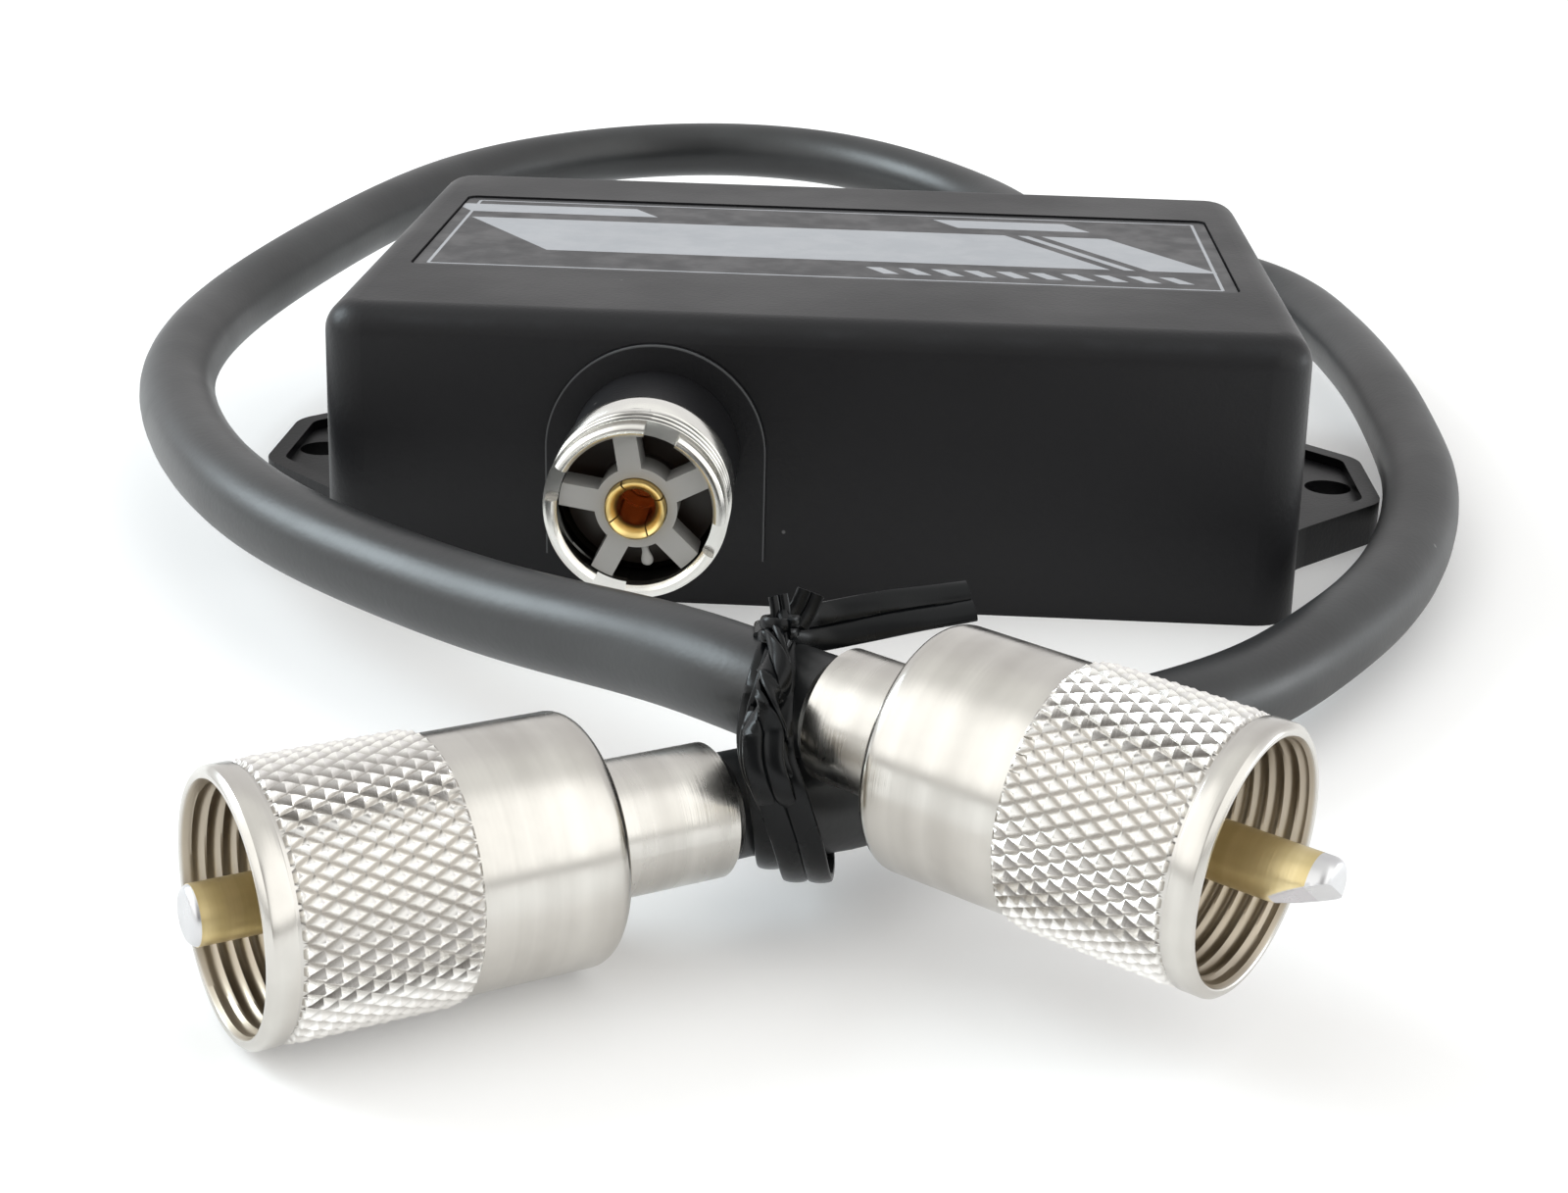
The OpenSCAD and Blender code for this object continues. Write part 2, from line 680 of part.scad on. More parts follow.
// Gold pin: a thinner root held in the insulator, and the free length in front of it
module plug_pin(side) {
    shoulder = face_z + pin_gap;
    color([0.83, 0.68, 0.30]) along_plug(side) {
        translate([0, 0, pin_root + pin_floor])
            cylinder(h = shoulder - pin_root - pin_floor + overlap, d = pin_root_d);
        translate([0, 0, shoulder]) cylinder(h = plug_len - solder_len - shoulder, d = pin_d);
    }
}

module plug_pin_left() {
    plug_pin(0);
}

module plug_pin_right() {
    plug_pin(1);
}

// Solder that closes the hollow pin, rounded at its tip
module pin_solder(side) {
    tip_r = 0.8;
    color([0.80, 0.80, 0.81]) along_plug(side) translate([0, 0, plug_len - solder_len]) rotate_extrude() {
        square([pin_d / 2, solder_len - tip_r]);
        square([pin_d / 2 - tip_r, solder_len]);
        intersection() {
            translate([pin_d / 2 - tip_r, solder_len - tip_r]) circle(tip_r);
            square([pin_d / 2, solder_len]);
        }
    }
}

module pin_solder_left() {
    pin_solder(0);
}

module pin_solder_right() {
    pin_solder(1);
}

// Coupling ring: smooth mouth band, raised knurl band, plain sleeve with a rounded rear edge and a guide lip
module coupling_ring(side) {
    sleeve_r = ring_r - sleeve_step;
    rear_r = 1.2;
    mouth_z = ring_len;
    color([0.79, 0.77, 0.74]) along_plug(side) translate([0, 0, ring_back[side]]) difference() {
        rotate_extrude() {
            translate([0, rear_r]) square([sleeve_r, mouth_z - rear_r - 0.4]);
            square([sleeve_r - rear_r, mouth_z]);
            intersection() {
                translate([sleeve_r - rear_r, rear_r]) circle(rear_r);
                square([sleeve_r, rear_r]);
            }
            translate([0, mouth_z - knurl_to]) square([ring_r, knurl_to - knurl_from]);
            polygon([[0, mouth_z - knurl_from - 0.2], [ring_r - 0.12, mouth_z - knurl_from - 0.2],
                [ring_r - 0.12, mouth_z - 0.4], [ring_r - 0.5, mouth_z], [0, mouth_z]]);
        }
        translate([0, 0, -overlap]) cylinder(h = lip_len + 2 * overlap, d = tail_d + 2 * running);
        translate([0, 0, lip_len]) cylinder(h = ring_len, d = ring_bore);
    }
}

module coupling_ring_left() {
    coupling_ring(0);
}

module coupling_ring_right() {
    coupling_ring(1);
}

// Path of the tie: a spiral of flattened loops that starts and ends on top of the leads, then the tail
function power(v, e) = sign(v) * pow(abs(v), e);
function tie_loop(i) =
    let (turn = tie_turns * i / tie_steps, a = 90 - 360 * turn, grow = tie_layer * turn)
    [tie_at[0] - tie_slant * sin(a),
        tie_at[1] + tie_shear * sin(a) + (tie_half_y + grow) * power(cos(a), tie_square),
        tie_mid_z + (tie_half_z + grow) * power(sin(a), tie_square)];
tie_path = concat([for (i = [0:tie_steps]) tie_loop(i)], tail_points);

// One ring of the strip: its width lies along X in the loops and turns upright in the tail
function tie_across(i) = i <= tie_steps ? [1, 0, 0] : tail_across[i - tie_steps - 1];
function tie_ring(i) =
    let (t = tangent(tie_path, i), n = unit(cross(t, tie_across(i))), w = cross(n, t), p = tie_path[i])
    [p - tie_w / 2 * w - tie_t / 2 * n, p + tie_w / 2 * w - tie_t / 2 * n,
        p + tie_w / 2 * w + tie_t / 2 * n, p - tie_w / 2 * w + tie_t / 2 * n];

// Least distance between one turn of a wound path and the next, less the thickness
function turn_gap(p, apart, t) = min([for (i = [0:len(p) - 1]) min(concat([apart * 99],
    [for (j = [i + apart:1:len(p) - 1]) norm(p[i] - p[j])]))]) - t;
echo(tie_gap = turn_gap([for (i = [0:tie_steps]) tie_path[i]], tie_steps / tie_turns / 2, tie_t));
echo(coil_gap = turn_gap(coil_route(coil_turns), coil_rings / 2, wire_d));

module lead_tie() {
    points = [for (i = [0:len(tie_path) - 1]) each tie_ring(i)];
    color([0.07, 0.07, 0.08]) polyhedron(points, skin_faces(len(tie_path), 4), convexity = 10);
}

housing();
socket_boss();
base_cover();
cover_screws();
label_plate();
socket_shell();
socket_insulator();
socket_contact();
contact_wire();
socket_nut();
earth_washer();
circuit_board();
board_screws();
shield_wall();
low_pass_coils();
high_pass_coils();
capacitors();
lead_clamps();
bush_left();
bush_right();
lead_end_left();
lead_end_right();
lead_left();
lead_right();
plug_body_left();
plug_body_right();
plug_insulator_left();
plug_insulator_right();
plug_pin_left();
plug_pin_right();
pin_solder_left();
pin_solder_right();
coupling_ring_left();
coupling_ring_right();
lead_tie();
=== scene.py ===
import math

import bmesh
import bpy
import mathutils
import numpy as np
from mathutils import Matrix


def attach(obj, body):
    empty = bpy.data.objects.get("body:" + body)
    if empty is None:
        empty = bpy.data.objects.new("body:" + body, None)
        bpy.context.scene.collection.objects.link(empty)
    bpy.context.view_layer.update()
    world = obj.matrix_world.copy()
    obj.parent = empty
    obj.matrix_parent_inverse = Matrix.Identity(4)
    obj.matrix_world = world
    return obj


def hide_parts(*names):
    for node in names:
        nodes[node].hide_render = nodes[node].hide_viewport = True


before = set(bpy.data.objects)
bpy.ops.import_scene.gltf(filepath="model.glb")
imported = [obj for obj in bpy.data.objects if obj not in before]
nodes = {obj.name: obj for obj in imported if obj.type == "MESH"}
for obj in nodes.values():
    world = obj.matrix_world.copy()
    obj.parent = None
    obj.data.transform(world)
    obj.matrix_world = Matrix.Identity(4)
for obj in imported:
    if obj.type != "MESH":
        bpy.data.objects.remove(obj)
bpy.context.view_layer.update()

# Housing, boss and base cover: one flat box of satin black moulded plastic with thin mounting ears.
# The moulding has a fine spark-eroded grain and picks up dust; a painted highlight and some wear pale its
# edges.
# A thin painted highlight arches over the socket, along the edge of the boss's arch.


def add(tree, kind, inputs=None, **settings):
    """A node of a kind: settings are its attributes, inputs its sockets by name or number, each as a value
    or a link."""
    node = tree.nodes.new(kind)
    for key, value in settings.items():
        setattr(node, key, value)
    for key, value in (inputs or {}).items():
        if isinstance(value, bpy.types.NodeSocket):
            tree.links.new(value, node.inputs[key])
        else:
            node.inputs[key].default_value = value
    return node


def maths(tree, operation, *values):
    """Output of a Math node on values or links."""
    return add(tree, "ShaderNodeMath", dict(enumerate(values)), operation=operation).outputs[0]


def ramp(tree, value, low, high, to_low=0.0, to_high=1.0):
    """A value carried smoothly from one span to another and held at both ends."""
    inputs = {"Value": value, "From Min": low, "From Max": high, "To Min": to_low, "To Max": to_high}
    return add(tree, "ShaderNodeMapRange", inputs, interpolation_type="SMOOTHSTEP").outputs[0]


def tint(tree, share, first, second):
    """Colour that goes from the first to the second with a share."""
    return add(tree, "ShaderNodeMix", {0: share, 6: first, 7: second}, data_type="RGBA").outputs[2]


def noise(tree, place, scale, detail):
    """Value of a noise texture at a place."""
    return add(tree, "ShaderNodeTexNoise", {"Vector": place, "Scale": scale, "Detail": detail}).outputs[0]


def new_group(name, inputs, outputs):
    """An empty shader node group with its sockets: (tree, its inputs, its output node)."""
    group = bpy.data.node_groups.new(name, "ShaderNodeTree")
    for label, kind, value in inputs:
        group.interface.new_socket(label, in_out="INPUT", socket_type=kind).default_value = value
    for label in outputs:
        group.interface.new_socket(label, in_out="OUTPUT", socket_type="NodeSocketFloat")
    return group, group.nodes.new("NodeGroupInput").outputs, group.nodes.new("NodeGroupOutput")


def new_finish(name, **sockets):
    """A material whose shader has plain socket values: (material, tree, shader, object coordinates)."""
    finish = bpy.data.materials.new(name)
    finish.use_nodes = True
    tree = finish.node_tree
    shader = tree.nodes["Principled BSDF"]
    for key, value in sockets.items():
        shader.inputs[key.replace("_", " ")].default_value = value
    return finish, tree, shader, tree.nodes.new("ShaderNodeTexCoord").outputs["Object"]


def raise_bump(tree, shader, height, distance, strength):
    """Feeds a height in metres of relief to the shader's normal."""
    bump = add(tree, "ShaderNodeBump", {"Height": height, "Distance": distance, "Strength": strength})
    tree.links.new(bump.outputs[0], shader.inputs["Normal"])


def paint(finish, *names):
    """Puts a finish on CAD nodes."""
    for name in names:
        nodes[name].data.materials.clear()
        nodes[name].data.materials.append(finish)


vector, number = "NodeSocketVector", "NodeSocketFloat"
moulded_grain, entry, result = new_group(
    "moulded_grain", [("Place", vector, (0, 0, 0)), ("Fineness", number, 2600.0)], ["Height", "Tone"])
fine = noise(moulded_grain, entry["Place"], entry["Fineness"], 1.0)
coarse = noise(moulded_grain, entry["Place"], maths(moulded_grain, "MULTIPLY", entry["Fineness"], 0.22), 2.0)
moulded_grain.links.new(maths(moulded_grain, "MULTIPLY_ADD", coarse, 0.6, fine), result.inputs["Height"])
moulded_grain.links.new(noise(moulded_grain, entry["Place"], 45.0, 4.0), result.inputs["Tone"])

dust_specks, entry, result = new_group(
    "dust_specks",
    [("Place", vector, (0, 0, 0)), ("Spread", number, 420.0), ("Share", number, 0.12)], ["Mask"])
cells = add(dust_specks, "ShaderNodeTexVoronoi", {"Vector": entry["Place"], "Scale": entry["Spread"]})
drawn = add(dust_specks, "ShaderNodeSeparateColor", {0: cells.outputs["Color"]}).outputs[0]
chosen = maths(dust_specks, "LESS_THAN", drawn, entry["Share"])
dot = ramp(dust_specks, cells.outputs["Distance"], 0.05, 0.1, 1.0, 0.0)
dust_specks.links.new(maths(dust_specks, "MULTIPLY", chosen, dot), result.inputs["Mask"])

NOISE_SPAN = (0.3, 0.7)
SIDE_EDGE_SPAN, FRONT_EDGE_SPAN, TOP_EDGE_SPAN = (0.0438, 0.0452), (0.0313, 0.0327), (0.0252, 0.0266)
ARCH_AT, ARCH_R, ARCH_FOOT, FRONT_Y = (-0.0142, 0.0146), 0.0101, 0.0045, -0.03302
ARCH_HIGHLIGHT_SPAN = (0.00008, 0.0002)
moulding, tree, shader, place = new_finish("black_moulding", Specular_IOR_Level=0.26)
grain = add(tree, "ShaderNodeGroup", {"Place": place}, node_tree=moulded_grain)
specks = add(tree, "ShaderNodeGroup", {"Place": place, "Share": 0.05}, node_tree=dust_specks)
apart = add(tree, "ShaderNodeSeparateXYZ", {0: place}).outputs
near_side = ramp(tree, maths(tree, "ABSOLUTE", apart[0]), *SIDE_EDGE_SPAN)
near_front = ramp(tree, maths(tree, "ABSOLUTE", apart[1]), *FRONT_EDGE_SPAN)
near_top = ramp(tree, apart[2], *TOP_EDGE_SPAN)
upright = maths(tree, "MULTIPLY", near_side, near_front)
level = maths(tree, "MULTIPLY", near_top, maths(tree, "MAXIMUM", near_side, near_front))
edge = maths(tree, "MAXIMUM", upright, level)
# Painted highlight along the box's edges, mixed with some rubbed wear: paler, bluish and glossier there.
highlight_and_wear = maths(tree, "MULTIPLY", edge, ramp(tree, noise(tree, place, 260.0, 5.0), 0.35, 0.75))
# Painted highlight: a thin pale line along the edge of the arch over the socket, on the front face only.
beside = maths(tree, "SUBTRACT", apart[0], ARCH_AT[0])
above = maths(tree, "MAXIMUM", maths(tree, "SUBTRACT", apart[2], ARCH_AT[1]), 0.0)
reach = maths(tree, "MULTIPLY_ADD", beside, beside, maths(tree, "MULTIPLY", above, above))
from_arch = maths(tree, "ABSOLUTE", maths(tree, "SUBTRACT", maths(tree, "SQRT", reach), ARCH_R))
arch_highlight = ramp(tree, from_arch, *ARCH_HIGHLIGHT_SPAN, 1.0, 0.0)
arch_highlight = maths(tree, "MULTIPLY", arch_highlight, maths(tree, "LESS_THAN", apart[1], FRONT_Y))
arch_highlight = maths(tree, "MULTIPLY", arch_highlight, maths(tree, "GREATER_THAN", apart[2], ARCH_FOOT))
black = tint(tree, grain.outputs["Tone"], (0.007, 0.007, 0.008, 1), (0.0115, 0.0115, 0.013, 1))
# The edges are tinted pale blue: a painted highlight together with wear.
highlighted_and_worn = tint(tree, maths(tree, "MULTIPLY", highlight_and_wear, 0.55), black, (0.055, 0.06, 0.068, 1))
# The arch's edge is painted pale grey as a highlight.
arch_highlighted = tint(tree, maths(tree, "MULTIPLY", arch_highlight, 0.55), highlighted_and_worn, (0.17, 0.175, 0.18, 1))
dusty = tint(tree, maths(tree, "MULTIPLY", specks.outputs["Mask"], 0.5), arch_highlighted, (0.22, 0.22, 0.22, 1))
tree.links.new(dusty, shader.inputs["Base Color"])
gloss = ramp(tree, grain.outputs["Tone"], *NOISE_SPAN, 0.36, 0.46)
tree.links.new(maths(tree, "MULTIPLY_ADD", highlight_and_wear, -0.1, gloss), shader.inputs["Roughness"])
raise_bump(tree, shader, grain.outputs["Height"], 0.00006, 0.35)
paint(moulding, "housing", "socket_boss", "base_cover")

# Label plate: thin printed foil let into the housing's top, dark with a silver field.
# Slanted ends and hatched bars divide it; the print is satin and carries faint rubbing marks.

MM = 0.001
LABEL_MIDDLE, SLANT = 0.002, 0.7
# Each pair is the middle and the half width of a printed shape, in millimetres.
FIELD_ALONG, FIELD_ACROSS, FIELD_GAPS = (-0.6, 7.2), (0.0, 33.5), ((23.5, 0.7), (26.0, 0.7))
BARS_ALONG, BARS_ACROSS = (11.4, 1.9), ((-22.0, 10.0), (27.0, 7.0))
HATCH_ALONG, HATCH_ACROSS, HATCH_STEP, HATCH_WIDTH = (-11.6, 1.3), (12.0, 16.0), 3.2, 1.5
BORDER_ACROSS, BORDER_ALONG, BORDER_HALF = 38.6, 15.1, 0.16
foil, tree, shader, place = new_finish("printed_foil", Specular_IOR_Level=0.5)


def within(value, middle, half):
    """Mask on the foil: one where a value lies within half of a middle."""
    return maths(foil.node_tree, "COMPARE", value, middle, half)


def both(first, second):
    """Mask on the foil where two masks are one."""
    return maths(foil.node_tree, "MULTIPLY", first, second)


def either(first, second):
    """Mask on the foil where at least one of two masks is one."""
    return maths(foil.node_tree, "MAXIMUM", first, second)


apart = add(tree, "ShaderNodeSeparateXYZ", {0: place}).outputs
across = maths(tree, "MULTIPLY", apart[0], 1 / MM)
along = maths(tree, "MULTIPLY_ADD", apart[1], 1 / MM, -LABEL_MIDDLE / MM)
slanted = maths(tree, "MULTIPLY_ADD", along, SLANT, across)
field = both(within(along, *FIELD_ALONG), within(slanted, *FIELD_ACROSS))
gaps = either(within(slanted, *FIELD_GAPS[0]), within(slanted, *FIELD_GAPS[1]))
field = both(field, maths(tree, "SUBTRACT", 1.0, gaps))
bars = either(within(slanted, *BARS_ACROSS[0]), within(slanted, *BARS_ACROSS[1]))
bars = both(within(along, *BARS_ALONG), bars)
hatch = both(within(along, *HATCH_ALONG), within(slanted, *HATCH_ACROSS))
stripes = maths(tree, "FLOORED_MODULO", slanted, HATCH_STEP)
hatch = both(hatch, maths(tree, "LESS_THAN", stripes, HATCH_WIDTH))
at_side = within(maths(tree, "ABSOLUTE", across), BORDER_ACROSS, BORDER_HALF)
at_front = within(maths(tree, "ABSOLUTE", along), BORDER_ALONG, BORDER_HALF)
border = either(both(at_side, within(along, 0.0, BORDER_ALONG)),
                both(at_front, within(across, 0.0, BORDER_ACROSS)))
silver = either(either(field, bars), either(hatch, border))
mottle = noise(tree, place, 120.0, 4.0)
dark_print = tint(tree, mottle, (0.012, 0.012, 0.014, 1), (0.02, 0.02, 0.023, 1))
silver_print = tint(tree, mottle, (0.3, 0.312, 0.335, 1), (0.38, 0.392, 0.415, 1))
tree.links.new(tint(tree, silver, dark_print, silver_print), shader.inputs["Base Color"])
rubbing = ramp(tree, noise(tree, place, 320.0, 3.0), *NOISE_SPAN, 0.34, 0.46)
tree.links.new(rubbing, shader.inputs["Roughness"])
raise_bump(tree, shader, noise(tree, place, 1800.0, 1.0), 0.00003, 0.3)
paint(foil, "label_plate")

# Screws and what is sealed inside: filter board, tinned clamps and shield, copper coils, disc capacitors.
# None of it shows with the cover on; each piece still has its own metal, lacquer or ceramic.


def inner_finish(name, dark, light, fineness, low_rough, high_rough, relief, **sockets):
    """A finish that wanders between two colours and two roughnesses with the moulded grain at a fineness."""
    finish, tree, shader, place = new_finish(name, **sockets)
    grain = add(tree, "ShaderNodeGroup", {"Place": place, "Fineness": fineness}, node_tree=moulded_grain)
    height = grain.outputs["Height"]
    tree.links.new(tint(tree, grain.outputs["Tone"], dark, light), shader.inputs["Base Color"])
    tree.links.new(ramp(tree, height, 0.4, 1.2, low_rough, high_rough), shader.inputs["Roughness"])
    raise_bump(tree, shader, height, relief, 0.5)
    return finish


zinc = inner_finish("zinc_screws", (0.42, 0.42, 0.44, 1), (0.6, 0.6, 0.6, 1),
                    1500.0, 0.25, 0.42, 0.00003, Metallic=1.0)
lacquer = inner_finish("board_lacquer", (0.01, 0.075, 0.03, 1), (0.02, 0.12, 0.05, 1),
                       700.0, 0.25, 0.4, 0.00004)
tin = inner_finish("tinned_sheet", (0.52, 0.52, 0.5, 1), (0.68, 0.68, 0.66, 1),
                   900.0, 0.3, 0.5, 0.00003, Metallic=1.0)
copper = inner_finish("copper_wire", (0.5, 0.18, 0.08, 1), (0.68, 0.28, 0.13, 1),
                      1200.0, 0.22, 0.4, 0.00002, Metallic=1.0)
ceramic = inner_finish("dipped_ceramic", (0.3, 0.13, 0.05, 1), (0.42, 0.2, 0.08, 1),
                       800.0, 0.35, 0.55, 0.00005)
core_plastic = inner_finish("bared_core", (0.66, 0.65, 0.6, 1), (0.76, 0.75, 0.7, 1),
                            900.0, 0.4, 0.55, 0.00003)
paint(zinc, "cover_screws", "board_screws")
paint(lacquer, "circuit_board")
paint(tin, "shield_wall", "lead_clamps", "socket_nut", "earth_washer")
paint(copper, "low_pass_coils", "high_pass_coils", "contact_wire")
paint(ceramic, "capacitors")
paint(core_plastic, "lead_end_left", "lead_end_right")

# Antenna socket shell: turned brass with bright nickel plate, screwed into the boss.
# A plain collar, four turns of thread, a smooth lead-in and four notches in the rim that key the plug.
# Painted shade darkens the roots of the thread.

THREAD_FLANK, THREAD_FLAT = 1.35, 0.2


def wave(turns):
    """Thread form between 0 at the root and 1 at the crest: straight flanks with narrow flats, per turn."""
    return np.clip(THREAD_FLANK * np.abs(2 * np.mod(turns, 1) - 1) - THREAD_FLAT, 0, 1)


def revolve(profile, turn):
    """Grids of a profile's two columns, along an axis and away from it, repeated for each angle round it."""
    return np.repeat(profile[:, :1], len(turn), 1), np.repeat(profile[:, 1:], len(turn), 1)


def notched_turns(first, half, step, wall):
    """Angles round an axis, and how many degrees each is from the nearest of four notches: even steps, with
    a pair of angles close together at both walls of each notch."""
    edges = np.add.outer(first + 90 * np.arange(4), np.array([-1, 1]) * half).ravel()
    turn = np.unique(np.concatenate([np.arange(0, 360, step), edges - wall, edges + wall]) % 360)
    turn = np.radians(turn)
    return turn, np.abs(np.mod(np.degrees(turn) - first + 45, 90) - 45)


def ring_faces(rows, columns):
    """Quads of a grid whose rows and columns both close on themselves."""
    row, column = np.mgrid[0:rows, 0:columns]
    below, beside = (row + 1) % rows, (column + 1) % columns
    return np.stack([row * columns + column, row * columns + beside,
                     below * columns + beside, below * columns + column], -1)


def make_piece(name, points, faces, finish, body, replaced, slot, sharp=38.0):
    """A piece from points in millimetres and lists of corner numbers: doubles merged, faces turned outwards,
    smooth up to a sharp angle."""
    mesh = bpy.data.meshes.new(name)
    mesh.from_pydata((points * MM).tolist(), [], faces)
    shape = bmesh.new()
    shape.from_mesh(mesh)
    bmesh.ops.remove_doubles(shape, verts=shape.verts, dist=1e-7)
    bmesh.ops.recalc_face_normals(shape, faces=shape.faces)
    shape.to_mesh(mesh)
    shape.free()
    mesh.shade_smooth()
    mesh.set_sharp_from_angle(angle=math.radians(sharp))
    mesh.materials.append(finish)
    piece = bpy.data.objects.new(name, mesh)
    bpy.context.scene.collection.objects.link(piece)
    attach(piece, body)
    if replaced:
        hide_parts(*replaced)
    return piece


turned_lines, entry, result = new_group(
    "turned_lines", [("Place", vector, (0, 0, 0)), ("Axis", vector, (0, 1, 0)), ("Fineness", number, 9000.0)],
    ["Height", "Tone"])
depth = add(turned_lines, "ShaderNodeVectorMath", {0: entry["Place"], 1: entry["Axis"]},
            operation="DOT_PRODUCT").outputs["Value"]
for socket, factor in (("Height", 1.0), ("Tone", 0.11)):
    fineness = maths(turned_lines, "MULTIPLY", entry["Fineness"], factor)
    step = maths(turned_lines, "MULTIPLY", depth, fineness)
    line = add(turned_lines, "ShaderNodeTexNoise", {"W": step, "Scale": 1.0, "Detail": 3.0},
               noise_dimensions="1D")
    turned_lines.links.new(line.outputs[0], result.inputs[socket])


def plated(name, axis, dark, light, low_rough, high_rough, fineness, relief):
    """Turned and plated metal: fine lines round an axis, soft smudges in its colour and gloss."""
    finish, tree, shader, place = new_finish(name, Metallic=1.0)
    lines = add(tree, "ShaderNodeGroup", {"Place": place, "Axis": axis, "Fineness": fineness},
                node_tree=turned_lines)
    smudge = noise(tree, place, 210.0, 4.0)
    share = maths(tree, "MULTIPLY_ADD", lines.outputs["Tone"], 0.5, maths(tree, "MULTIPLY", smudge, 0.5))
    colour = tint(tree, ramp(tree, share, *NOISE_SPAN), dark, light)
    rough = ramp(tree, share, *NOISE_SPAN, high_rough, low_rough)
    tree.links.new(colour, shader.inputs["Base Color"])
    tree.links.new(rough, shader.inputs["Roughness"])
    raise_bump(tree, shader, lines.outputs["Height"], relief, 0.6)
    return finish, tree, shader, place, colour


SOCKET_AT, SOCKET_AXIS = np.array([-14.2, -33.0, 14.6]), (0, 1, 0)
BARREL_R, BARREL_BORE_R, SHANK_R, CORE_R = 7.94, 6.65, 6.0, 4.4
BOSS_OUT, COLLAR_OUT, LEAD_IN_OUT, RIM_OUT, SHANK_BACK = 9.0, 11.7, 16.3, 17.5, -8.7
CAVITY_FLOOR, CAVITY_MIDDLE, LEAD_IN_R = 10.0, 13.0, 7.72
PITCH, THREAD_DEPTH, THREAD_RISE = 1.058, 0.74, 0.6
NOTCH_TURN, NOTCH_HALF, NOTCH_DEPTH = 72.0, 11.4, 1.2
ROOT_FLOOR, ROOT_SHADE_SPAN, THREAD_MIDDLE, THREAD_HALF = 0.0069, (0.0077, 0.0079), -0.04702, 0.00226


def socket_shell_points():
    """Surface of revolution: a closed profile of (out, radius) swept round the socket's axis. The collar is a
    bead that falls away forwards. Between collar and lead-in the radius follows a helical thread; inside a
    notch the profile is cut off at the notch's floor."""
    bead = [(0, SHANK_R), (0, 7.6), (0.12, 7.82), (0.35, BARREL_R), (0.8, 7.88), (1.3, 7.76), (1.8, 7.58),
            (2.2, 7.38)]
    collar = [(BOSS_OUT + out, radius) for out, radius in bead] + [(COLLAR_OUT, 7.1)]
    thread = [(out, BARREL_R) for out in np.arange(COLLAR_OUT + 0.15, LEAD_IN_OUT, PITCH / 10)]
    rim = [(LEAD_IN_OUT, LEAD_IN_R), (RIM_OUT - 0.3, LEAD_IN_R), (RIM_OUT - 0.05, 7.5), (RIM_OUT, 7.4),
           (RIM_OUT, 7.05), (RIM_OUT - 0.08, 6.95), (RIM_OUT - 0.5, BARREL_BORE_R)]
    bore = [(CAVITY_MIDDLE, BARREL_BORE_R), (CAVITY_FLOOR, BARREL_BORE_R), (CAVITY_FLOOR, CORE_R),
            (SHANK_BACK, CORE_R), (SHANK_BACK, SHANK_R)]
    turn, from_notch = notched_turns(NOTCH_TURN, NOTCH_HALF, 2.0, 0.15)
    out, radius = revolve(np.array(collar + thread + rim + bore), turn)
    threaded = (out > COLLAR_OUT + 0.1) & (out < LEAD_IN_OUT - 0.01)
    fade = np.clip((out - COLLAR_OUT) / THREAD_RISE, 0, 1)
    crest = wave(out / PITCH - turn / (2 * np.pi))
    radius = np.where(threaded, BARREL_R - THREAD_DEPTH * (1 - fade * crest), radius)
    notched = (from_notch < NOTCH_HALF) & (radius > BARREL_BORE_R - 0.1)
    out = np.where(notched, np.minimum(out, RIM_OUT - NOTCH_DEPTH), out)
    points = np.stack([radius * np.cos(turn), -out, radius * np.sin(turn)], -1) + SOCKET_AT
    return points.reshape(-1, 3), ring_faces(*out.shape).reshape(-1, 4).tolist()


def away_from_axis(tree, place, start, axis):
    """Distance of a place from a line that starts at a point in millimetres, as the length of the cross
    product with the line's direction."""
    offset = add(tree, "ShaderNodeVectorMath", {0: place, 1: tuple(start * MM)}, operation="SUBTRACT")
    turned = add(tree, "ShaderNodeVectorMath", {0: offset.outputs[0], 1: axis}, operation="CROSS_PRODUCT")
    return add(tree, "ShaderNodeVectorMath", {0: turned.outputs[0]}, operation="LENGTH").outputs["Value"]


bright_nickel, tree, shader, place, colour = plated(
    "bright_nickel", SOCKET_AXIS, (0.8, 0.79, 0.75, 1), (0.92, 0.91, 0.87, 1), 0.16, 0.28, 5000.0, 0.000012)
away = away_from_axis(tree, place, SOCKET_AT, SOCKET_AXIS)
forward = add(tree, "ShaderNodeSeparateXYZ", {0: place}).outputs[1]
# Painted shade: the roots of the thread, in the threaded stretch only, are darkened.
root = maths(tree, "MULTIPLY", ramp(tree, away, *ROOT_SHADE_SPAN, 1.0, 0.0),
             maths(tree, "GREATER_THAN", away, ROOT_FLOOR))
root = maths(tree, "MULTIPLY", root, maths(tree, "COMPARE", forward, THREAD_MIDDLE, THREAD_HALF))
tree.links.new(tint(tree, root, colour, (0.1, 0.1, 0.095, 1)), shader.inputs["Base Color"])
make_piece("antenna_socket_shell", *socket_shell_points(), bright_nickel, "duplexer", ["socket_shell"],
           "socket_nickel")

# Socket insulator and centre contact: a milky moulded spider with five spokes holds a gold-plated sleeve.
# The disc behind the spokes is dark amber; the sleeve has a funnel mouth and four slits, and reddish brass
# shows in its bore.

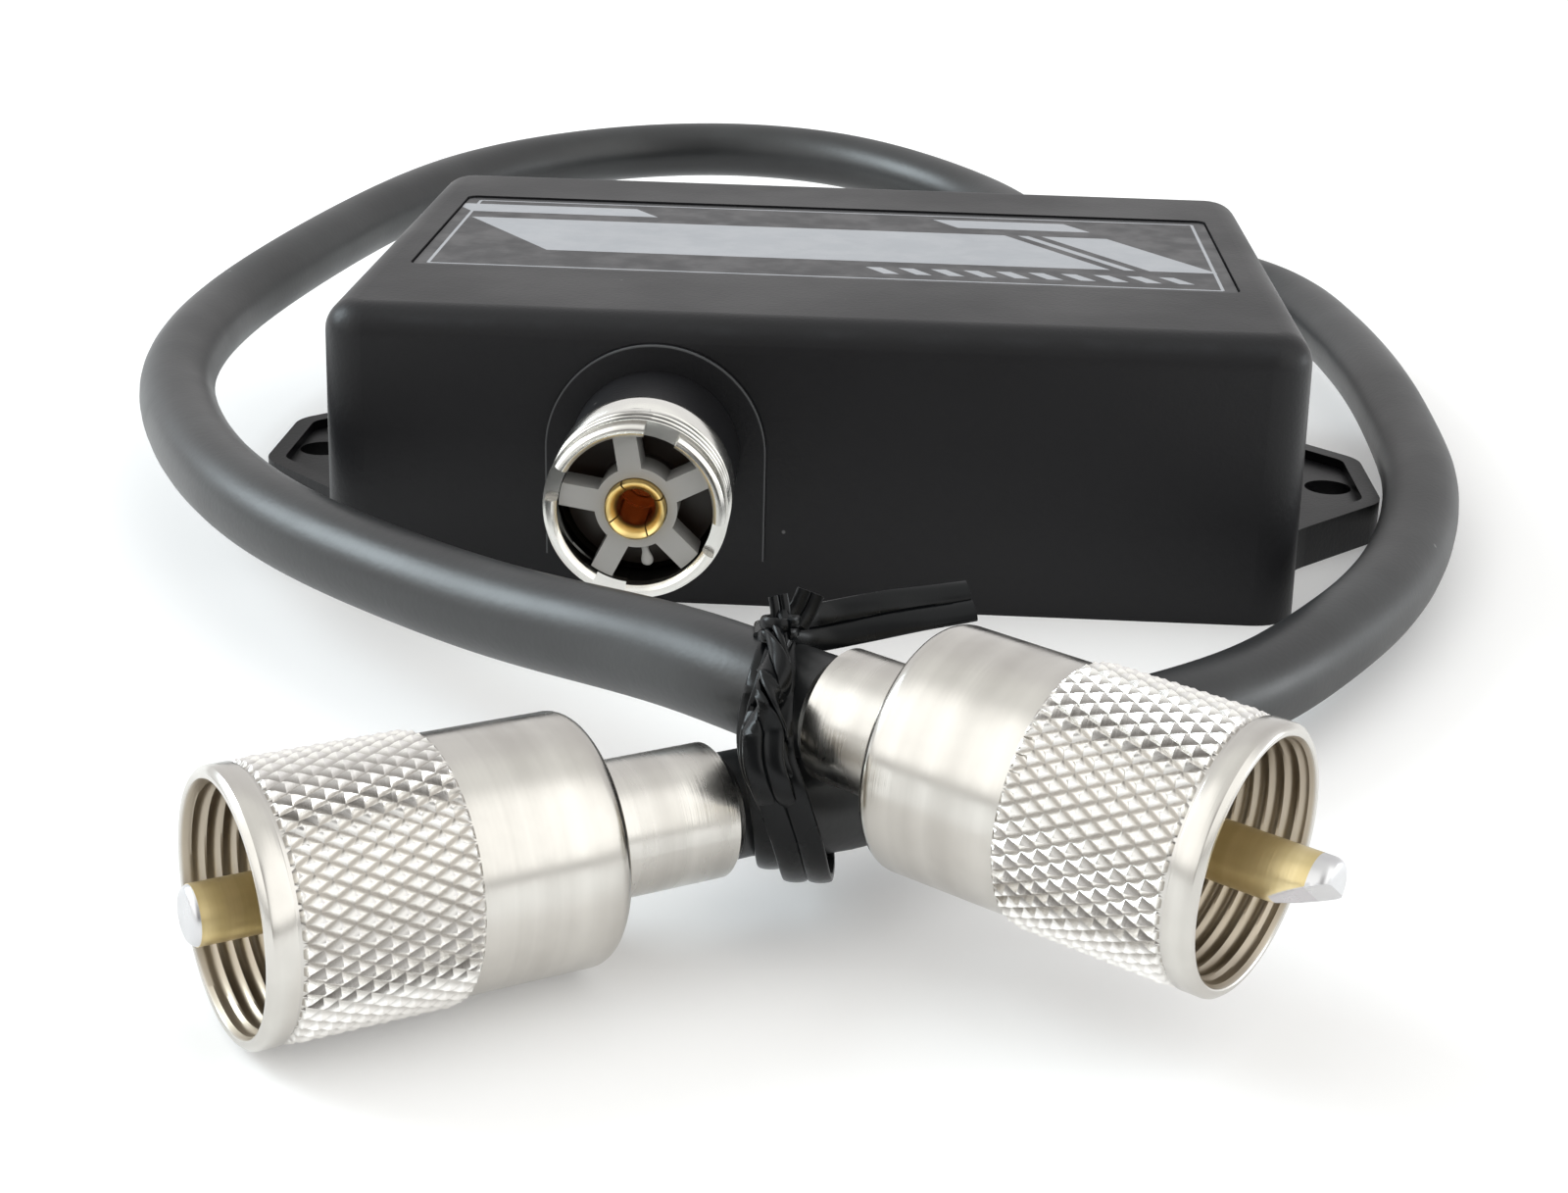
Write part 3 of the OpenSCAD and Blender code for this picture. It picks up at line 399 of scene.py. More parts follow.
SPOKE_BACK = (-0.0458, -0.0454)
spider, tree, shader, place = new_finish("milky_moulding")
grain = add(tree, "ShaderNodeGroup", {"Place": place, "Fineness": 1300.0}, node_tree=moulded_grain)
forward = add(tree, "ShaderNodeSeparateXYZ", {0: place}).outputs[1]
spokes = ramp(tree, forward, *SPOKE_BACK, 1.0, 0.0)
milky = tint(tree, grain.outputs["Tone"], (0.36, 0.355, 0.34, 1), (0.48, 0.475, 0.46, 1))
amber = tint(tree, grain.outputs["Tone"], (0.03, 0.019, 0.012, 1), (0.06, 0.04, 0.027, 1))
tree.links.new(tint(tree, spokes, amber, milky), shader.inputs["Base Color"])
tree.links.new(ramp(tree, grain.outputs["Tone"], *NOISE_SPAN, 0.3, 0.42), shader.inputs["Roughness"])
raise_bump(tree, shader, grain.outputs["Height"], 0.00003, 0.4)
paint(spider, "socket_insulator")

GATE_SIDES, GATE_OUT, GATE_LEAN = 24, 15.4, (0.19, 0.98)


def capped_faces(rows, columns):
    """Quads of a tube whose columns close on themselves, with a flat cap at both ends."""
    caps = [list(range(columns)), list(range((rows - 1) * columns, rows * columns))]
    return ring_faces(rows, columns)[:-1].reshape(-1, 4).tolist() + caps


def gate_points():
    """Moulding gate on the spider's hub: a pear-shaped surface of revolution about a line that leaves the hub
    below."""
    away = np.array([3.3, 3.6, 3.9, 4.2, 4.5, 4.8, 5.05, 5.25, 5.38, 5.44])[:, None, None]
    radius = np.array([0.001, 0.34, 0.3, 0.32, 0.44, 0.52, 0.52, 0.42, 0.24, 0.001])[:, None, None]
    turn = np.linspace(0, 2 * np.pi, GATE_SIDES, endpoint=False)[:, None]
    line = np.array([GATE_LEAN[0], 0.0, -GATE_LEAN[1]])
    side = np.array([GATE_LEAN[1], 0.0, GATE_LEAN[0]])
    around = np.cos(turn) * side + np.sin(turn) * np.array([0.0, 1.0, 0.0])
    points = SOCKET_AT + [0.0, -GATE_OUT, 0.0] + away * line + radius * around
    return points.reshape(-1, 3), capped_faces(len(away), GATE_SIDES)


make_piece("insulator_gate", *gate_points(), spider, "duplexer", [], "white_insulator", 60.0)

SLEEVE_BACK, SLEEVE_FRONT, SLEEVE_OUT_R, SLEEVE_BORE_R = 6.0, 16.9, 2.63, 2.0
SLIT_TURN, SLIT_BACK, SLIT_HALF = 27.0, 11.5, 1.6
NARROWING = ([10.0, 15.0], [SLEEVE_BORE_R, 1.67])
BORE_AWAY, BORE_FROM = 0.0021, (-0.0489, -0.0487)


def contact_points():
    """Surface of revolution: closed profile of (out, radius) with a funnel mouth, swept round the socket's
    axis. The four fingers are sprung together, so the bore narrows towards the mouth. Inside a slit, each
    point is held back to the slit's floor."""
    reach = np.linspace(SLEEVE_BACK, SLEEVE_FRONT - 0.25, 24)
    funnel = [(0.08, 2.52), (0.0, 2.44), (0.03, 2.36), (0.35, 2.08), (0.75, 1.8), (1.1, 1.65)]
    profile = [(out, SLEEVE_OUT_R) for out in reach]
    profile += [(SLEEVE_FRONT - back, radius) for back, radius in funnel]
    profile += [(out, float(np.interp(out, *NARROWING))) for out in reach[:-4][::-1]]
    turn, from_slit = notched_turns(SLIT_TURN, SLIT_HALF, 4.0, 0.2)
    out, radius = revolve(np.array(profile), turn)
    out = np.where(from_slit < SLIT_HALF, np.minimum(out, SLIT_BACK), out)
    points = np.stack([radius * np.cos(turn), -out, radius * np.sin(turn)], -1) + SOCKET_AT
    return points.reshape(-1, 3), ring_faces(*out.shape).reshape(-1, 4).tolist()


contact_gold, tree, shader, place, colour = plated(
    "contact_gold", SOCKET_AXIS, (0.86, 0.62, 0.22, 1), (0.96, 0.76, 0.36, 1), 0.26, 0.38, 6000.0, 0.00001)
inside = maths(tree, "LESS_THAN", away_from_axis(tree, place, SOCKET_AT, SOCKET_AXIS), BORE_AWAY)
forward = add(tree, "ShaderNodeSeparateXYZ", {0: place}).outputs[1]
inside = maths(tree, "MULTIPLY", inside, ramp(tree, forward, *BORE_FROM))
tree.links.new(tint(tree, inside, colour, (0.72, 0.44, 0.2, 1)), shader.inputs["Base Color"])
make_piece("socket_contact_sleeve", *contact_points(), contact_gold, "duplexer", ["socket_contact"],
           "gold_plate")

# Rubber bushes: soft black grommets that hold the leads in the back wall, with a flange and ribs that let
# them flex. The rubber is matt and slightly bloomed grey.

EXITS = {"left": -24.0, "right": 24.0}
BACK_Y, EXIT_Z, LEAD_R = 33.0, 13.5, 3.75
BUSH_SIDES, BUSH_OUT, BUSH_BORE_R, RIBS_FROM, RIB_STEP, RIB_DEPTH = 96, 9.0, 3.82, 2.6, 1.45, 0.45


def bush_points(x):
    """Surface of revolution about the lead's exit: inner flange, neck in the wall, outer flange, then a
    tapering neck whose radius dips in four even ribs."""
    out = np.linspace(2.2, BUSH_OUT - 0.5, 60)
    ribs = RIB_DEPTH * (0.5 - 0.5 * np.cos(2 * np.pi * np.clip((out - RIBS_FROM) / RIB_STEP, 0, 4)))
    neck = np.interp(out, [2.2, BUSH_OUT], [5.75, 4.9]) - ribs
    inner = [(-4.4, BUSH_BORE_R), (-4.4, 5.9), (-4.3, 6.0), (-3.0, 6.0), (-2.9, 4.95), (0, 4.95)]
    flange = [(0, 6.3), (0.2, 6.5), (1.35, 6.5), (1.6, 6.3), (1.8, 5.9)]
    end = [(BUSH_OUT - 0.15, 4.6), (BUSH_OUT, 4.4), (BUSH_OUT, BUSH_BORE_R)]
    turn = np.linspace(0, 2 * np.pi, BUSH_SIDES, endpoint=False)
    out, radius = revolve(np.array(inner + flange + list(zip(out, neck)) + end), turn)
    points = np.stack([x + radius * np.cos(turn), BACK_Y + out, EXIT_Z + radius * np.sin(turn)], -1)
    return points.reshape(-1, 3), ring_faces(*out.shape).reshape(-1, 4).tolist()


rubber = inner_finish("bush_rubber", (0.012, 0.012, 0.013, 1), (0.03, 0.03, 0.032, 1),
                      1500.0, 0.55, 0.75, 0.00006)
for side, x in EXITS.items():
    make_piece(f"lead_bush_{side}", *bush_points(x), rubber, "duplexer", [f"bush_{side}"], "bush_rubber")

# Plugs: nickel-plated brass bodies soldered to the leads, with a cream insulator and a hollow gold pin that
# is closed by solder. The tails are turned smooth; a dark reflection is painted near the end of each, on its
# upper side and more on the left, and the right pin's end is cut slantwise.

PLUG_AT = {"left": np.array([-3.5, -94.2, 8.6]), "right": np.array([4.0, -92.5, 15.4])}
PLUG_TURN = {"left": (-56.5, -1.5), "right": (57.5, 2.7)}
PIN_SIDES, PIN_END, PIN_SHOULDER, PIN_ROOT, PIN_R, PIN_ROOT_R = 48, 37.1, 23.9, 20.0, 1.98, 1.63
SOLDER_FROM, SOLDER_ROUND = {"left": 36.6, "right": 35.7}, 0.7
SCOOP, SCOOP_FROM, SCOOP_SIDE, SCOOP_UP = {"left": 0.0, "right": 0.53}, 33.3, -0.6, -0.8
# How strong, how far along and how high the painted dark reflection on each tail is.
DARK_REFLECTION_SHARE, DARK_REFLECTION_ALONG, DARK_REFLECTION_UP = {"left": 0.75, "right": 0.2}, (0.8, 3.2), (3.2, 4.5)


def plug_frame(side):
    """Right, up and forward directions of a plug from its turn about the vertical and its tilt."""
    turn, tilt = np.radians(PLUG_TURN[side])
    right = np.array([np.cos(turn), np.sin(turn), 0.0])
    forward = np.array([np.sin(turn) * np.cos(tilt), -np.cos(turn) * np.cos(tilt), -np.sin(tilt)])
    return right, np.cross(forward, right), forward


def pin_points(side, profile):
    """Surface of revolution: rows of (along, radius) swept round a plug's axis, with flat ends. The pin's end
    is cut slantwise: what lies beyond a plane that leans inwards by the scoop's share of the way along is
    pushed back onto it."""
    along, radius = np.transpose(profile)[:, :, None]
    turn = np.linspace(0, 2 * np.pi, PIN_SIDES, endpoint=False)
    beside, upward = radius * np.cos(turn), radius * np.sin(turn)
    limit = PIN_R - SCOOP[side] * np.clip(along - SCOOP_FROM, 0, None)
    beyond = np.clip(SCOOP_SIDE * beside + SCOOP_UP * upward - limit, 0, None)
    local = np.stack([beside - SCOOP_SIDE * beyond, upward - SCOOP_UP * beyond, along + 0 * turn], -1)
    points = local @ np.stack(plug_frame(side)) + PLUG_AT[side]
    return points.reshape(-1, 3), capped_faces(len(profile), PIN_SIDES)


def plug_place(tree, place, side):
    """Place in a plug's own frame, in millimetres: beside its axis, above it, and along it from its tail."""
    offset = add(tree, "ShaderNodeVectorMath", {0: place, 1: tuple(PLUG_AT[side] * MM)}, operation="SUBTRACT")
    return [add(tree, "ShaderNodeVectorMath", {0: offset.outputs[0], 1: tuple(direction / MM)},
                operation="DOT_PRODUCT").outputs["Value"] for direction in plug_frame(side)]


cream = inner_finish("cream_insulator", (0.5, 0.46, 0.37, 1), (0.62, 0.58, 0.48, 1),
                     1100.0, 0.35, 0.5, 0.00003)
paint(cream, "plug_insulator_left", "plug_insulator_right")
solder = inner_finish("bright_solder", (0.55, 0.55, 0.56, 1), (0.78, 0.78, 0.79, 1),
                      600.0, 0.22, 0.42, 0.00012, Metallic=1.0)
for side in EXITS:
    axis = tuple(plug_frame(side)[2])
    tail, tree, shader, place, colour = plated(
        f"tail_nickel_{side}", axis, (0.58, 0.56, 0.525, 1), (0.7, 0.68, 0.64, 1),
        0.22, 0.32, 4200.0, 0.00001)
    upward, forward = plug_place(tree, place, side)[1:]
    # Painted reflection: a patchy dark mark near the tail's end on its upper side.
    dark_reflection = maths(tree, "MULTIPLY", ramp(tree, forward, *DARK_REFLECTION_ALONG, 1.0, 0.0),
                  ramp(tree, upward, *DARK_REFLECTION_UP))
    spots = ramp(tree, noise(tree, place, 420.0, 4.0), 0.4, 0.6, 0.0, DARK_REFLECTION_SHARE[side])
    dark_reflection = maths(tree, "MULTIPLY", dark_reflection, spots)
    tree.links.new(tint(tree, dark_reflection, colour, (0.06, 0.05, 0.05, 1)), shader.inputs["Base Color"])
    paint(tail, f"plug_body_{side}")
    gold, tree, shader, place, colour = plated(
        f"pin_gold_{side}", axis, (0.64, 0.52, 0.26, 1), (0.79, 0.665, 0.385, 1),
        0.26, 0.36, 5000.0, 0.000008)
    beside, upward, forward = plug_place(tree, place, side)
    limit = maths(tree, "MULTIPLY_ADD", forward, -SCOOP[side], PIN_R + SCOOP[side] * SCOOP_FROM)
    depth = maths(tree, "MULTIPLY_ADD", beside, SCOOP_SIDE, maths(tree, "MULTIPLY", upward, SCOOP_UP))
    cut = maths(tree, "MULTIPLY", ramp(tree, maths(tree, "SUBTRACT", depth, limit), -0.12, -0.02),
                maths(tree, "GREATER_THAN", forward, SCOOP_FROM + 0.2 if SCOOP[side] else PIN_END))
    tree.links.new(tint(tree, cut, colour, (0.6, 0.58, 0.6, 1)), shader.inputs["Base Color"])
    shaft = [(PIN_ROOT, PIN_ROOT_R), (PIN_SHOULDER, PIN_ROOT_R)]
    shaft += [(at, PIN_R) for at in np.linspace(PIN_SHOULDER, SOLDER_FROM[side], 40)]
    reach = np.linspace(SOLDER_FROM[side], PIN_END, 12)
    rounding = np.clip((reach - PIN_END + SOLDER_ROUND) / SOLDER_ROUND, 0, 1)
    dome = PIN_R - SOLDER_ROUND * (1 - np.sqrt(1 - rounding ** 2))
    make_piece(f"gold_pin_{side}", *pin_points(side, shaft), gold, "duplexer",
                   [f"plug_pin_{side}"], "gold_plate")
    make_piece(f"solder_tip_{side}", *pin_points(side, list(zip(reach, dome))), solder, "duplexer",
                   [f"pin_solder_{side}"], "solder")

# Coupling rings: turned brass sleeves with satin nickel plate, free to turn on the plug bodies.
# A coarse diamond knurl is rolled into the front half, turning near white towards its crests as a painted
# highlight; the mouth has a smooth band and a thread inside, where the brass shows through.

RING_BACK = {"left": 10.5, "right": 7.6}
RING_R, SLEEVE_R, REAR_ROUND, KNURL_FROM, KNURL_TO = 9.05, 8.6, 1.2, 10.4, 22.25
KNURL_COUNT, KNURL_STEPS, KNURL_HALF, KNURL_TOP, SUB = 47, 45, 1.04, 0.88, 4
RING_BORE_R, LIP_R, LIP_LEN = 7.97, 4.78, 5.0
THREAD_FROM, THREAD_TO, THREAD_HEIGHT, THREAD_SLIM = 23.8, 11.0, 0.25, 1.6
KNURL_FADE, KNURL_BLEND, THREAD_START = 0.35, 0.1, 0.5
KNURL_HIGHLIGHT_R, THREAD_INSIDE_R, THREAD_ROUGHER = (0.00866, 0.00892), (0.00806, 0.0082), 0.16


def ring_points(side):
    """Closed profile of (along, radius) swept round the plug's axis. On the knurl the radius is a field of
    pyramids: with p and q counting half cells round and along, the height is the lesser of the distances of
    p + q and p - q from an odd number. In the mouth the radius follows a helical thread, a cosine raised to
    a power so that its crests are slim."""
    columns = 2 * KNURL_COUNT * SUB
    turn = 2 * np.pi * np.arange(columns) / columns
    bend = np.linspace(0, np.pi / 2, 7)
    rear = [(LIP_LEN, LIP_R), (0.25, LIP_R), (0.0, LIP_R + 0.25), (0.0, 6.4)]
    rear += list(zip(REAR_ROUND * (1 - np.cos(bend)), SLEEVE_R - REAR_ROUND * (1 - np.sin(bend))))
    rear += [(z, SLEEVE_R) for z in (3.0, 5.5, 8.0, KNURL_FROM - 0.15)]
    knurl = [(KNURL_FROM + k * KNURL_HALF / SUB, SLEEVE_R) for k in range(KNURL_STEPS + 1)]
    band = [(22.2, 8.62), (22.32, 8.62), (22.42, 8.9), (22.5, 8.93), (23.8, 8.93), (23.95, 8.89),
            (24.2, 8.66), (24.3, 8.5), (24.3, 8.25), (24.24, 8.15), (23.9, RING_BORE_R)]
    thread = [(z, RING_BORE_R) for z in np.arange(THREAD_FROM - 0.05, THREAD_TO, -PITCH / 8)]
    bore = [(THREAD_TO - 0.3, RING_BORE_R), (LIP_LEN, RING_BORE_R)]
    along, radius = revolve(np.array(rear + knurl + band + thread + bore), turn)
    first, last = len(rear), len(rear) + KNURL_STEPS
    p, q = np.arange(columns)[None, :] / SUB, np.arange(KNURL_STEPS + 1)[:, None] / SUB
    height = np.minimum(np.abs(1 - np.mod(p + q, 2)), np.abs(1 - np.mod(p - q, 2)))
    ends = np.clip(np.minimum(q, KNURL_STEPS / SUB - q) / KNURL_FADE, 0, 1)
    pyramids = np.minimum(np.minimum(height, KNURL_TOP) / KNURL_TOP, ends)
    radius[first:last + 1] += pyramids * (RING_R - SLEEVE_R)
    start = len(rear) + len(knurl) + len(band)
    z = along[start:start + len(thread)]
    crest = (0.5 + 0.5 * np.cos(2 * np.pi * z / PITCH - turn)) ** THREAD_SLIM
    rise = np.clip((THREAD_FROM - z) / THREAD_START, 0, 1)
    radius[start:start + len(thread)] -= THREAD_HEIGHT * rise * crest
    local = np.stack([radius * np.cos(turn), radius * np.sin(turn), along + RING_BACK[side]], -1)
    points = (local @ np.stack(plug_frame(side)) + PLUG_AT[side]).reshape(-1, 3)
    quads = ring_faces(*along.shape)
    row, column = np.mgrid[0:KNURL_STEPS, 0:columns] // SUB
    turned = ((row + column) % 2 == 0).reshape(-1, 1)
    a, b, c, d = quads[first:last].reshape(-1, 4).T
    split = np.where(turned, np.stack([a, b, d, b, c, d], -1), np.stack([a, b, c, a, c, d], -1))
    plain = np.concatenate([quads[:first], quads[last:]]).reshape(-1, 4)
    return points, split.reshape(-1, 3).tolist() + plain.tolist()


for side in EXITS:
    axis = tuple(plug_frame(side)[2])
    satin_nickel, tree, shader, place, colour = plated(
        f"ring_nickel_{side}", axis, (0.56, 0.54, 0.505, 1), (0.68, 0.66, 0.62, 1),
        0.18, 0.27, 3600.0, 0.000012)
    away = away_from_axis(tree, place, PLUG_AT[side], axis)
    along = maths(tree, "SUBTRACT", plug_place(tree, place, side)[2], RING_BACK[side])
    knurled = maths(tree, "MULTIPLY", ramp(tree, along, KNURL_FROM, KNURL_FROM + KNURL_BLEND),
                    ramp(tree, along, KNURL_TO, KNURL_TO + KNURL_BLEND, 1.0, 0.0))
    # Painted highlight: the knurl goes from a plain nickel in its grooves to near white on its crests.
    crest_highlight = tint(tree, ramp(tree, away, *KNURL_HIGHLIGHT_R), (0.6, 0.58, 0.55, 1), (0.97, 0.955, 0.925, 1))
    outside = tint(tree, knurled, colour, crest_highlight)
    inside = ramp(tree, away, *THREAD_INSIDE_R, 1.0, 0.0)
    tree.links.new(tint(tree, inside, outside, (0.44, 0.385, 0.31, 1)), shader.inputs["Base Color"])
    rough = shader.inputs["Roughness"].links[0].from_socket
    rough = maths(tree, "MULTIPLY_ADD", inside, THREAD_ROUGHER, rough)
    tree.links.new(rough, shader.inputs["Roughness"])
    make_piece(f"knurled_ring_{side}", *ring_points(side), satin_nickel, f"ring_{side}",
                             [f"coupling_ring_{side}"], "ring_nickel", 24.0)

# Leads: two short lengths of 7.5 mm coaxial cable with a satin black jacket, from the back wall round to the
# plugs. They lie in one wide loop each and cross in front of the box; the jacket is a little chalky and
# holds dust.

LEAD_POINTS = {
    "left": [(-24, 42, 13.5), (-24, 48, 13.5), (-24, 55, 13), (-21.5, 68, 12), (-14.5, 80, 10),
             (-3.5, 88.5, 8.5), (10, 92, 7.5), (24.5, 91.3, 7), (38.9, 87.5, 6.8), (50.9, 79.5, 6.8),
             (57.8, 67.2, 6.8), (60.5, 53.5, 6.8), (62, 38.9, 6.6), (62.7, 24.6, 6.2), (62.6, 10.4, 5.6),
             (61.5, -3.9, 5.5), (58.9, -17.2, 5.2), (55, -29.7, 5), (50, -41.2, 5.1), (43.8, -51.9, 5.2),
             (36.7, -61.8, 5.4), (28.1, -70.2, 5.8), (19, -77.5, 6.3), (9.5, -84.8, 7), (1.8, -90.7, 7.6)],
    "right": [(24, 42, 13.5), (24, 48, 13.5), (24.4, 56, 14), (22.6, 69.9, 14.8), (17.7, 83.4, 15),
              (8.2, 95.5, 15.9), (-3.7, 104.6, 16.5), (-18.6, 108.6, 16.5), (-33.3, 105.9, 16),
              (-45.7, 96.4, 15.5), (-54.6, 82.1, 15), (-60.8, 65.9, 14), (-65.2, 48.7, 13), (-68.5, 30.6, 12),
              (-69.2, 12.6, 11.5), (-66.8, -4.3, 11.3), (-61.4, -20.3, 11.3), (-53.9, -35.3, 11.4),
              (-44.2, -48.6, 11.5), (-33.1, -59.3, 11.7), (-21.6, -69, 12.3), (-11.5, -78, 13.9),
              (-4, -86.2, 15.4)]}
PLUG_RUN, LEAD_SIDES, LEAD_STEP = 2.5, 32, 2.0


def smooth_route(points, spacing):
    """Natural cubic spline through points, with chord length as its parameter; one linear system gives its
    slopes."""
    points = np.asarray(points, float)
    chord = np.linalg.norm(np.diff(points, axis=0), axis=1)
    at = np.concatenate([[0], np.cumsum(chord)])
    count = len(points)
    system, right = np.zeros((count, count)), np.zeros((count, 3))
    inner = np.arange(1, count - 1)
    system[inner, inner - 1], system[inner, inner + 1] = 1 / chord[:-1], 1 / chord[1:]
    system[inner, inner] = 2 / chord[:-1] + 2 / chord[1:]
    slope = np.diff(points, axis=0) / chord[:, None] ** 2
    right[inner] = 3 * (slope[:-1] + slope[1:])
    system[[0, -1], [0, -1]] = 1.0
    right[0], right[-1] = (points[1] - points[0]) / chord[0], (points[-1] - points[-2]) / chord[-1]
    tangents = np.linalg.solve(system, right)
    length = np.linspace(0, at[-1], int(at[-1] / spacing) + 1)
    span = np.clip(np.searchsorted(at, length, "right") - 1, 0, count - 2)
    h = chord[span][:, None]
    t = ((length - at[span]) / chord[span])[:, None]
    return ((1 + 2 * t) * (1 - t) ** 2 * points[span] + t * (1 - t) ** 2 * h * tangents[span]
            + t * t * (3 - 2 * t) * points[span + 1] + t * t * (t - 1) * h * tangents[span + 1])


def unit(vectors):
    """Vectors scaled to length one."""
    return vectors / np.linalg.norm(vectors, axis=-1, keepdims=True)


def sweep(path, across, section):
    """Profile carried along a path: each section point (w, n) lies w along the across direction and n along
    the normal, which is the path's tangent crossed with it. One section and one direction serve the whole
    path, or each row has its own. The two ends are closed by flat caps."""
    tangent = unit(np.gradient(path, axis=0))
    across = unit(across - tangent * np.sum(across * tangent, -1, keepdims=True))
    normal = np.cross(tangent, across)
    section = np.broadcast_to(section, (len(path),) + np.shape(section)[-2:])
    w, n = section[..., :1], section[..., 1:]
    points = path[:, None] + w * across[:, None] + n * normal[:, None]
    return points.reshape(-1, 3), capped_faces(*section.shape[:2])


jacket, tree, shader, place = new_finish("lead_jacket", Specular_IOR_Level=0.62)
grain = add(tree, "ShaderNodeGroup", {"Place": place, "Fineness": 1800.0}, node_tree=moulded_grain)
specks = add(tree, "ShaderNodeGroup", {"Place": place, "Spread": 330.0, "Share": 0.07}, node_tree=dust_specks)
chalk = ramp(tree, noise(tree, place, 95.0, 5.0), 0.4, 0.75)
black = tint(tree, chalk, (0.011, 0.012, 0.013, 1), (0.019, 0.021, 0.022, 1))
dusty = tint(tree, maths(tree, "MULTIPLY", specks.outputs["Mask"], 0.45), black, (0.3, 0.3, 0.3, 1))
tree.links.new(dusty, shader.inputs["Base Color"])
tree.links.new(ramp(tree, grain.outputs["Tone"], *NOISE_SPAN, 0.36, 0.48), shader.inputs["Roughness"])
raise_bump(tree, shader, grain.outputs["Height"], 0.00005, 0.3)
circle = 2 * np.pi * np.arange(LEAD_SIDES) / LEAD_SIDES
section = LEAD_R * np.stack([np.cos(circle), np.sin(circle)], -1)
leads, routes = {}, {}
for side in EXITS:
    plug_tail = [PLUG_AT[side] - PLUG_RUN * plug_frame(side)[2], PLUG_AT[side]]
    route = smooth_route(LEAD_POINTS[side] + plug_tail, LEAD_STEP)
    sideways = np.cross(np.array([0.0, 0.0, 1.0]), np.gradient(route, axis=0))
    leads[side] = make_piece(f"coax_lead_{side}", *sweep(route, sideways, section), jacket, "duplexer",
                             [f"lead_{side}"], "lead_jacket", 60.0)
    routes[side] = route * MM

# Twist tie: a black coated strip with a wire down its middle, wound twice round the crossing leads.
# It is twisted into a knot on top, with two short ends standing up and one long tail lying to the right.

TIE_Y, TIE_MID_Z, TIE_HALF_Y, TIE_HALF_Z, TIE_LAYER, TIE_TURNS = -90.0, 11.7, 7.1, 8.2, 1.15, 1.96
TIE_BACK, TIE_BLUNT, LOW_GROWTH, LOW_LESS, TOP_GROWTH, TOP_LESS = 0.7, 0.75, 0.6, 0.35, 0.45, 0.5
LOBE, STRIP_MIN, STRIP_MORE = 0.85, 0.07, 0.23
RIPPLE, RIPPLE_ALONG, RIPPLE_ACROSS, CREASE_REACH = 0.03, 0.9, 0.7, 0.35
KNOT_TURNS, KNOT_FROM, KNOT_APART = 1.1, 0.35, 0.42
WRAP_AT, WRAP_TURNS, WRAP_R, WRAP_GROWTH = np.array([0.2, -91.7, 20.75]), 1.15, 0.95, 0.035
HALF_EDGE = np.array([0.0, 0.1, 0.26, 0.52, 0.86, 1.2, 1.48, 1.64, 1.7])
STRIP_EDGE = np.concatenate([-HALF_EDGE[:0:-1], HALF_EDGE])
STRIP_HALF = STRIP_MIN + STRIP_MORE * np.sqrt(np.clip(1 - ((np.abs(STRIP_EDGE) - LOBE) / LOBE) ** 2, 0, 1))
STRIP = np.concatenate([np.stack([STRIP_EDGE, STRIP_HALF], -1),
                        np.stack([STRIP_EDGE, -STRIP_HALF], -1)[::-1]])
LEAN = np.array([(0, -0.5), (0.25, 0.4), (0.5, 1.1), (0.6, 1.0), (0.65, 0.95), (0.7, 0.8), (0.75, 0.5),
                 (0.8, -0.25), (0.825, -0.45), (0.85, -0.35), (0.9, 0.0), (1.0, 0.3), (1.25, 1.2), (1.5, 2.9),
                 (1.6, 2.8), (1.65, 2.6), (1.7, 2.1), (1.75, 1.25), (1.8, 0.2), (1.825, 0.0), (1.85, 0.05),
                 (1.9, 0.3), (1.96, 0.5)])


def tie_loops():
    """Path of the two loops: a flattened circle whose radii grow by one layer a turn, rounder in front than
    behind; its place along X for each part of a turn comes from a short table, so that the strips lean and
    spread apart below."""
    turns = np.linspace(0, TIE_TURNS, 60)
    back, upward = np.cos(np.pi / 2 - 2 * np.pi * turns), np.sin(np.pi / 2 - 2 * np.pi * turns)
    grow = TIE_LAYER * turns
    bend = np.where(back < 0, 1.0, TIE_BLUNT)
    half_z = TIE_HALF_Z + np.where(upward < 0, LOW_GROWTH * grow - LOW_LESS, TOP_GROWTH * grow - TOP_LESS)
    y = TIE_Y + TIE_BACK * upward + (TIE_HALF_Y + grow) * np.sign(back) * np.abs(back) ** bend
    z = TIE_MID_Z + half_z * np.sign(upward) * np.abs(upward) ** bend
    return smooth_route(np.stack([np.interp(turns, *LEAN.T), y, z], -1), 0.3)


def creased(path, widths, creases=()):
    """Strip section for each row of a path: its width follows a table of (share of the path, factor), and
    each crease (share, slant, depth) is a fold line whose depth dies away evenly on both sides."""
    step = np.cumsum(np.linalg.norm(np.gradient(path, axis=0), axis=1))[:, None]
    share = step / step[-1]
    w, n = STRIP[None, :, 0], STRIP[None, :, 1]
    fold = RIPPLE * np.sin(RIPPLE_ALONG * step + RIPPLE_ACROSS * w)
    for place, slant, depth in creases:
        fold = fold + depth * np.exp(-np.abs(step - place * step[-1] + slant * w) / CREASE_REACH)
    return np.stack([w * np.interp(share, *np.transpose(widths)), n + fold], -1)


strip_plastic = inner_finish("strip_plastic", (0.0022, 0.0026, 0.003, 1), (0.005, 0.0058, 0.0068, 1),
                             500.0, 0.2, 0.32, 0.00003, Specular_IOR_Level=0.22)
TO_RIGHT, STANDING, LYING = np.array([1.0, 0.0, 0.0]), np.array([0.1, 0.3, 0.95]), np.array([0.1, 0.85, 0.5])


def strand(name, path, across, section, replaced=()):
    """A stretch of the strip carried along a path, as a piece of its own."""
    return make_piece(name, *sweep(path, across, section), strip_plastic, "duplexer", replaced, "tie", 30.0)


